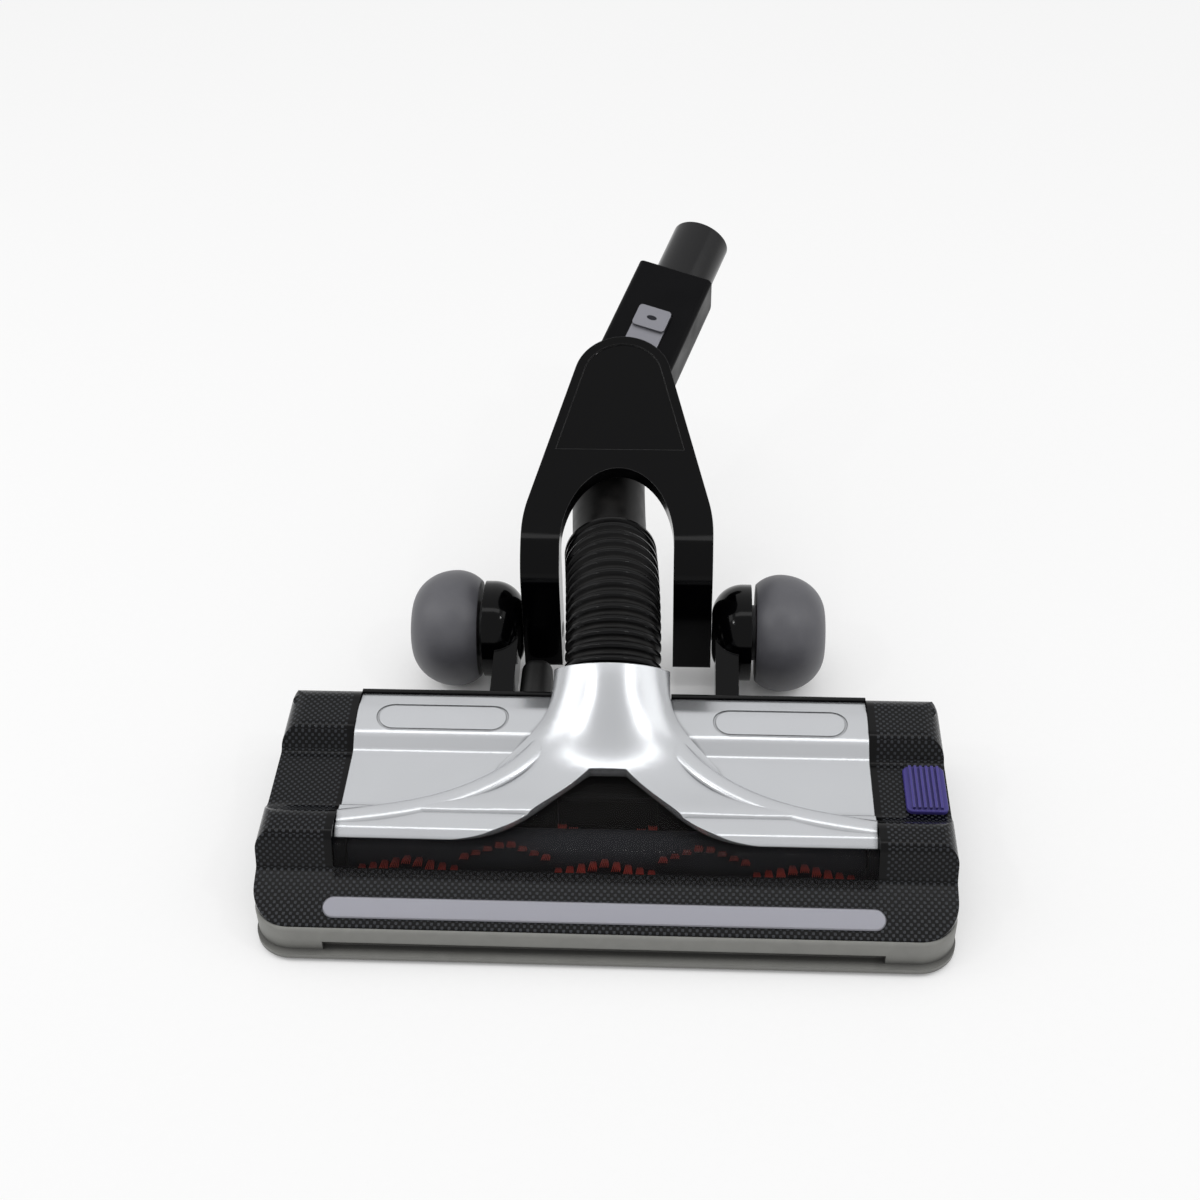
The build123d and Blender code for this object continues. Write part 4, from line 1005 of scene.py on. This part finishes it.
class FLOORHEAD_OT_running_finish(bpy.types.Operator):
    """Gives the wheels, rollers, arms and axles their rubber, plastic and steel"""

    bl_idname = "floorhead.running_finish"
    bl_label = "Running gear finish"

    def execute(self, context):
        colours = context.scene.floor_head_shell
        rubber = soft_rubber("wheel_rubber", colours.wheel, roughness=0.42, grain=0.7)
        dress(rubber, "left_wheel", "right_wheel", "left_roller", "right_roller")
        gloss = moulded_plastic(
            "arm_gloss_abs", colours.black, roughness=0.1, grain=0.9, depth=0.004, wear_and_highlight=0.2, shine=0.12
        )
        dress(gloss, "left_axle_arm", "right_axle_arm")
        steel = turned_metal("zinc_plated_steel", hex_colour("#B9BBBE"), roughness=0.28, groove=1.88)
        for side in ("left", "right"):
            dress(steel, f"{side}_axle_pin", f"{side}_axle_clip", f"{side}_roller_axle")
        dress(steel, "base_screws", "latch_spring", "button_spring")
        return {"FINISHED"}


class FLOORHEAD_OT_drive_finish(bpy.types.Operator):
    """Gives the brush core, the drive and the electrics their plastics, steel, brass and lacquer"""

    bl_idname = "floorhead.drive_finish"
    bl_label = "Drive finish"

    def execute(self, context):
        core = moulded_plastic(
            "core_nylon", hex_colour("#34353A"), roughness=0.5, grain=0.9, depth=0.05, wear_and_highlight=0.3
        )
        dress(core, "brush_core", "brush_pulley", "left_brush_bearing", "right_brush_bearing")
        dress(core, "motor_bracket")
        dress(soft_rubber("belt_rubber", hex_colour("#1B1B1B"), roughness=0.6, grain=0.5), "drive_belt")
        can = turned_metal("motor_can_steel", hex_colour("#9A9CA0"), roughness=0.35, groove=3.77)
        dress(can, "motor", "motor_rotor")
        brass = turned_metal("contact_brass", hex_colour("#C9A250"), roughness=0.25, groove=1.57)
        dress(brass, "contact_pins")
        board = moulded_plastic(
            "board_lacquer", hex_colour("#1D5A34"), roughness=0.35, grain=1.0, depth=0.02, wear_and_highlight=0.1
        )
        dress(board, "circuit_board")
        return {"FINISHED"}


class FLOORHEAD_OT_stage(bpy.types.Operator):
    """Adds the pale floor, the soft lights and the camera"""

    bl_idname = "floorhead.stage"
    bl_label = "Stage"

    def shown_rays(self, tree):
        """One for rays that show the background: the camera's, reflected and clear ones."""
        path = add_node(tree, "LightPath")
        seen = add_node(
            tree,
            "Math",
            {0: path.outputs["Is Camera Ray"], 1: path.outputs["Is Glossy Ray"]},
            operation="MAXIMUM",
        )
        shown = add_node(
            tree, "Math", {0: seen.outputs[0], 1: path.outputs["Is Transmission Ray"]}, operation="MAXIMUM"
        )
        return shown.outputs[0]

    def floor(self, settings):
        """White paper that reaches further behind the head than in front of it."""
        set_back = 1.0
        painted_shadow_reach = 120 * MM
        bpy.ops.mesh.primitive_plane_add(size=settings.floor_size, location=(0, set_back, 0))
        floor = bpy.context.object
        floor.name = "floor"
        material, tree, place = start_material("white_paper")
        fibre = add_node(tree, "TexNoise", {"Vector": place, "Scale": per_mm(4), "Detail": 2.0})
        shade = add_node(
            tree,
            "Mix",
            {0: fibre.outputs["Fac"], 6: hex_colour("#F6F6F6"), 7: hex_colour("#FBFBFB")},
            data_type="RGBA",
        )
        shader = add_node(tree, "BsdfPrincipled", {"Base Color": shade.outputs[2], "Roughness": 0.9})
        # Glows partly, like a light table lit from below, for the rays that show the background; ambient
        # occlusion fades the glow near and under the head, a painted soft shadow with white round it
        white = add_node(tree, "Emission")
        painted_shadow_fade = add_node(tree, "AmbientOcclusion", {"Distance": painted_shadow_reach}, samples=8)
        glow = add_node(
            tree, "Math", {0: painted_shadow_fade.outputs["AO"], 1: settings.table_light}, operation="MULTIPLY"
        )
        share = add_node(tree, "Math", {0: self.shown_rays(tree), 1: glow.outputs[0]}, operation="MULTIPLY")
        paper = add_node(
            tree, "MixShader", {0: share.outputs[0], 1: shader.outputs[0], 2: white.outputs[0]}
        )
        floor.data.materials.append(end_material(material, tree, paper))

    def world(self, context, settings):
        """A white backdrop for the rays that show it, and an even soft light for the rest."""
        side_level = 0.45
        least_level = 0.78
        gain = (0.0, 0.33, 0.45)
        world = bpy.data.worlds.new("studio")
        context.scene.world = world
        world.use_nodes = True
        tree = world.node_tree
        tree.nodes.clear()
        # The backdrop is white high up behind the object and pale grey elsewhere
        way = add_node(tree, "TexCoord")
        lift = add_node(tree, "VectorMath", {0: way.outputs["Generated"], 1: gain}, operation="DOT_PRODUCT")
        slope = add_node(tree, "Math", {0: lift.outputs["Value"], 1: side_level}, operation="ADD")
        level = add_node(tree, "Math", {0: slope.outputs[0], 1: least_level}, operation="MAXIMUM")
        backdrop = add_node(tree, "Background", {"Color": (1, 1, 1, 1), "Strength": level.outputs[0]})
        soft = add_node(tree, "Background", {"Color": (1, 1, 1, 1), "Strength": settings.ambient})
        both = add_node(
            tree, "MixShader", {0: self.shown_rays(tree), 1: soft.outputs[0], 2: backdrop.outputs[0]}
        )
        add_node(tree, "OutputWorld", {"Surface": both.outputs[0]})

    def lamp(self, name, place, size, power):
        """A flat lamp of that width and depth, turned to the head."""
        bpy.ops.object.light_add(type="AREA", location=place)
        lamp = bpy.context.object
        lamp.name = name
        lamp.data.energy = power
        lamp.data.shape = "RECTANGLE"
        lamp.data.size, lamp.data.size_y = size
        lamp.rotation_euler = (LAMP_AIM - Vector(place)).to_track_quat("-Z", "Y").to_euler()

    def camera(self, context, settings):
        """The camera of the photograph."""
        level = math.cos(CAMERA_PITCH)
        look = Vector((math.sin(CAMERA_YAW) * level, math.cos(CAMERA_YAW) * level, -math.sin(CAMERA_PITCH)))
        right = look.cross(Vector((0, 0, 1))).normalized()
        up = right.cross(look)
        right_rolled = math.cos(CAMERA_ROLL) * right + math.sin(CAMERA_ROLL) * up
        up_rolled = -math.sin(CAMERA_ROLL) * right + math.cos(CAMERA_ROLL) * up
        bpy.ops.object.camera_add()
        camera = bpy.context.object
        turn = Matrix((right_rolled, up_rolled, -look)).transposed().to_4x4()
        camera.matrix_world = Matrix.Translation(CAMERA_PLACE) @ turn
        camera.data.lens = settings.lens
        camera.data.sensor_width = SENSOR_WIDTH
        context.scene.camera = camera

    def execute(self, context):
        settings = context.scene.floor_head_stage
        context.scene.view_settings.view_transform = "Standard"
        self.floor(settings)
        self.world(context, settings)
        softbox = (0.5, 0.8)
        strip = (1.2, 0.2)
        spark = (0.07, 0.07)
        self.lamp("left_softbox", (-1.0, 0.0, 0.75), softbox, settings.left_power)
        self.lamp("right_softbox", (1.0, 0.0, 0.75), softbox, settings.right_power)
        self.lamp("top_strip", (0.0, -0.1, 1.3), strip, settings.top_power)
        self.lamp("left_spark", (-0.6, -0.35, 0.9), spark, settings.spark_power)
        self.lamp("right_spark", (0.55, -0.3, 0.9), spark, settings.spark_power)
        self.camera(context, settings)
        return {"FINISHED"}


class FLOORHEAD_PT_panel(bpy.types.Panel):
    """Lists the floor head's steps and settings"""

    bl_idname = "FLOORHEAD_PT_panel"
    bl_label = "Floor head"
    bl_space_type = "VIEW_3D"
    bl_region_type = "UI"
    bl_category = "Floor head"

    def draw(self, context):
        for settings in groups:
            group = getattr(context.scene, settings)
            for name in group.__annotations__:
                self.layout.prop(group, name)
        for operator in operators:
            self.layout.operator(operator.bl_idname)


groups = {
    "floor_head_hose": HoseSettings,
    "floor_head_brush": BrushSettings,
    "floor_head_shell": ShellSettings,
    "floor_head_stage": StageSettings,
}
operators = (
    FLOORHEAD_OT_stage,
    FLOORHEAD_OT_hose,
    FLOORHEAD_OT_bristles,
    FLOORHEAD_OT_button_mark,
    FLOORHEAD_OT_shell_finish,
    FLOORHEAD_OT_sweep_rims,
    FLOORHEAD_OT_neck_finish,
    FLOORHEAD_OT_running_finish,
    FLOORHEAD_OT_drive_finish,
    FLOORHEAD_OT_springs,
)


def register():
    for name, group in groups.items():
        bpy.utils.register_class(group)
        setattr(bpy.types.Scene, name, PointerProperty(type=group))
    for operator in operators:
        bpy.utils.register_class(operator)
    bpy.utils.register_class(FLOORHEAD_PT_panel)


def unregister():
    bpy.utils.unregister_class(FLOORHEAD_PT_panel)
    for operator in reversed(operators):
        bpy.utils.unregister_class(operator)
    for name, group in groups.items():
        delattr(bpy.types.Scene, name)
        bpy.utils.unregister_class(group)


def main():
    register()
    bpy.ops.floorhead.stage()
    bpy.ops.floorhead.hose()
    bpy.ops.floorhead.bristles()
    bpy.ops.floorhead.button_mark()
    bpy.ops.floorhead.shell_finish()
    bpy.ops.floorhead.sweep_rims()
    bpy.ops.floorhead.neck_finish()
    bpy.ops.floorhead.running_finish()
    bpy.ops.floorhead.drive_finish()
    bpy.ops.floorhead.springs()


if __name__ == "__main__":
    main()
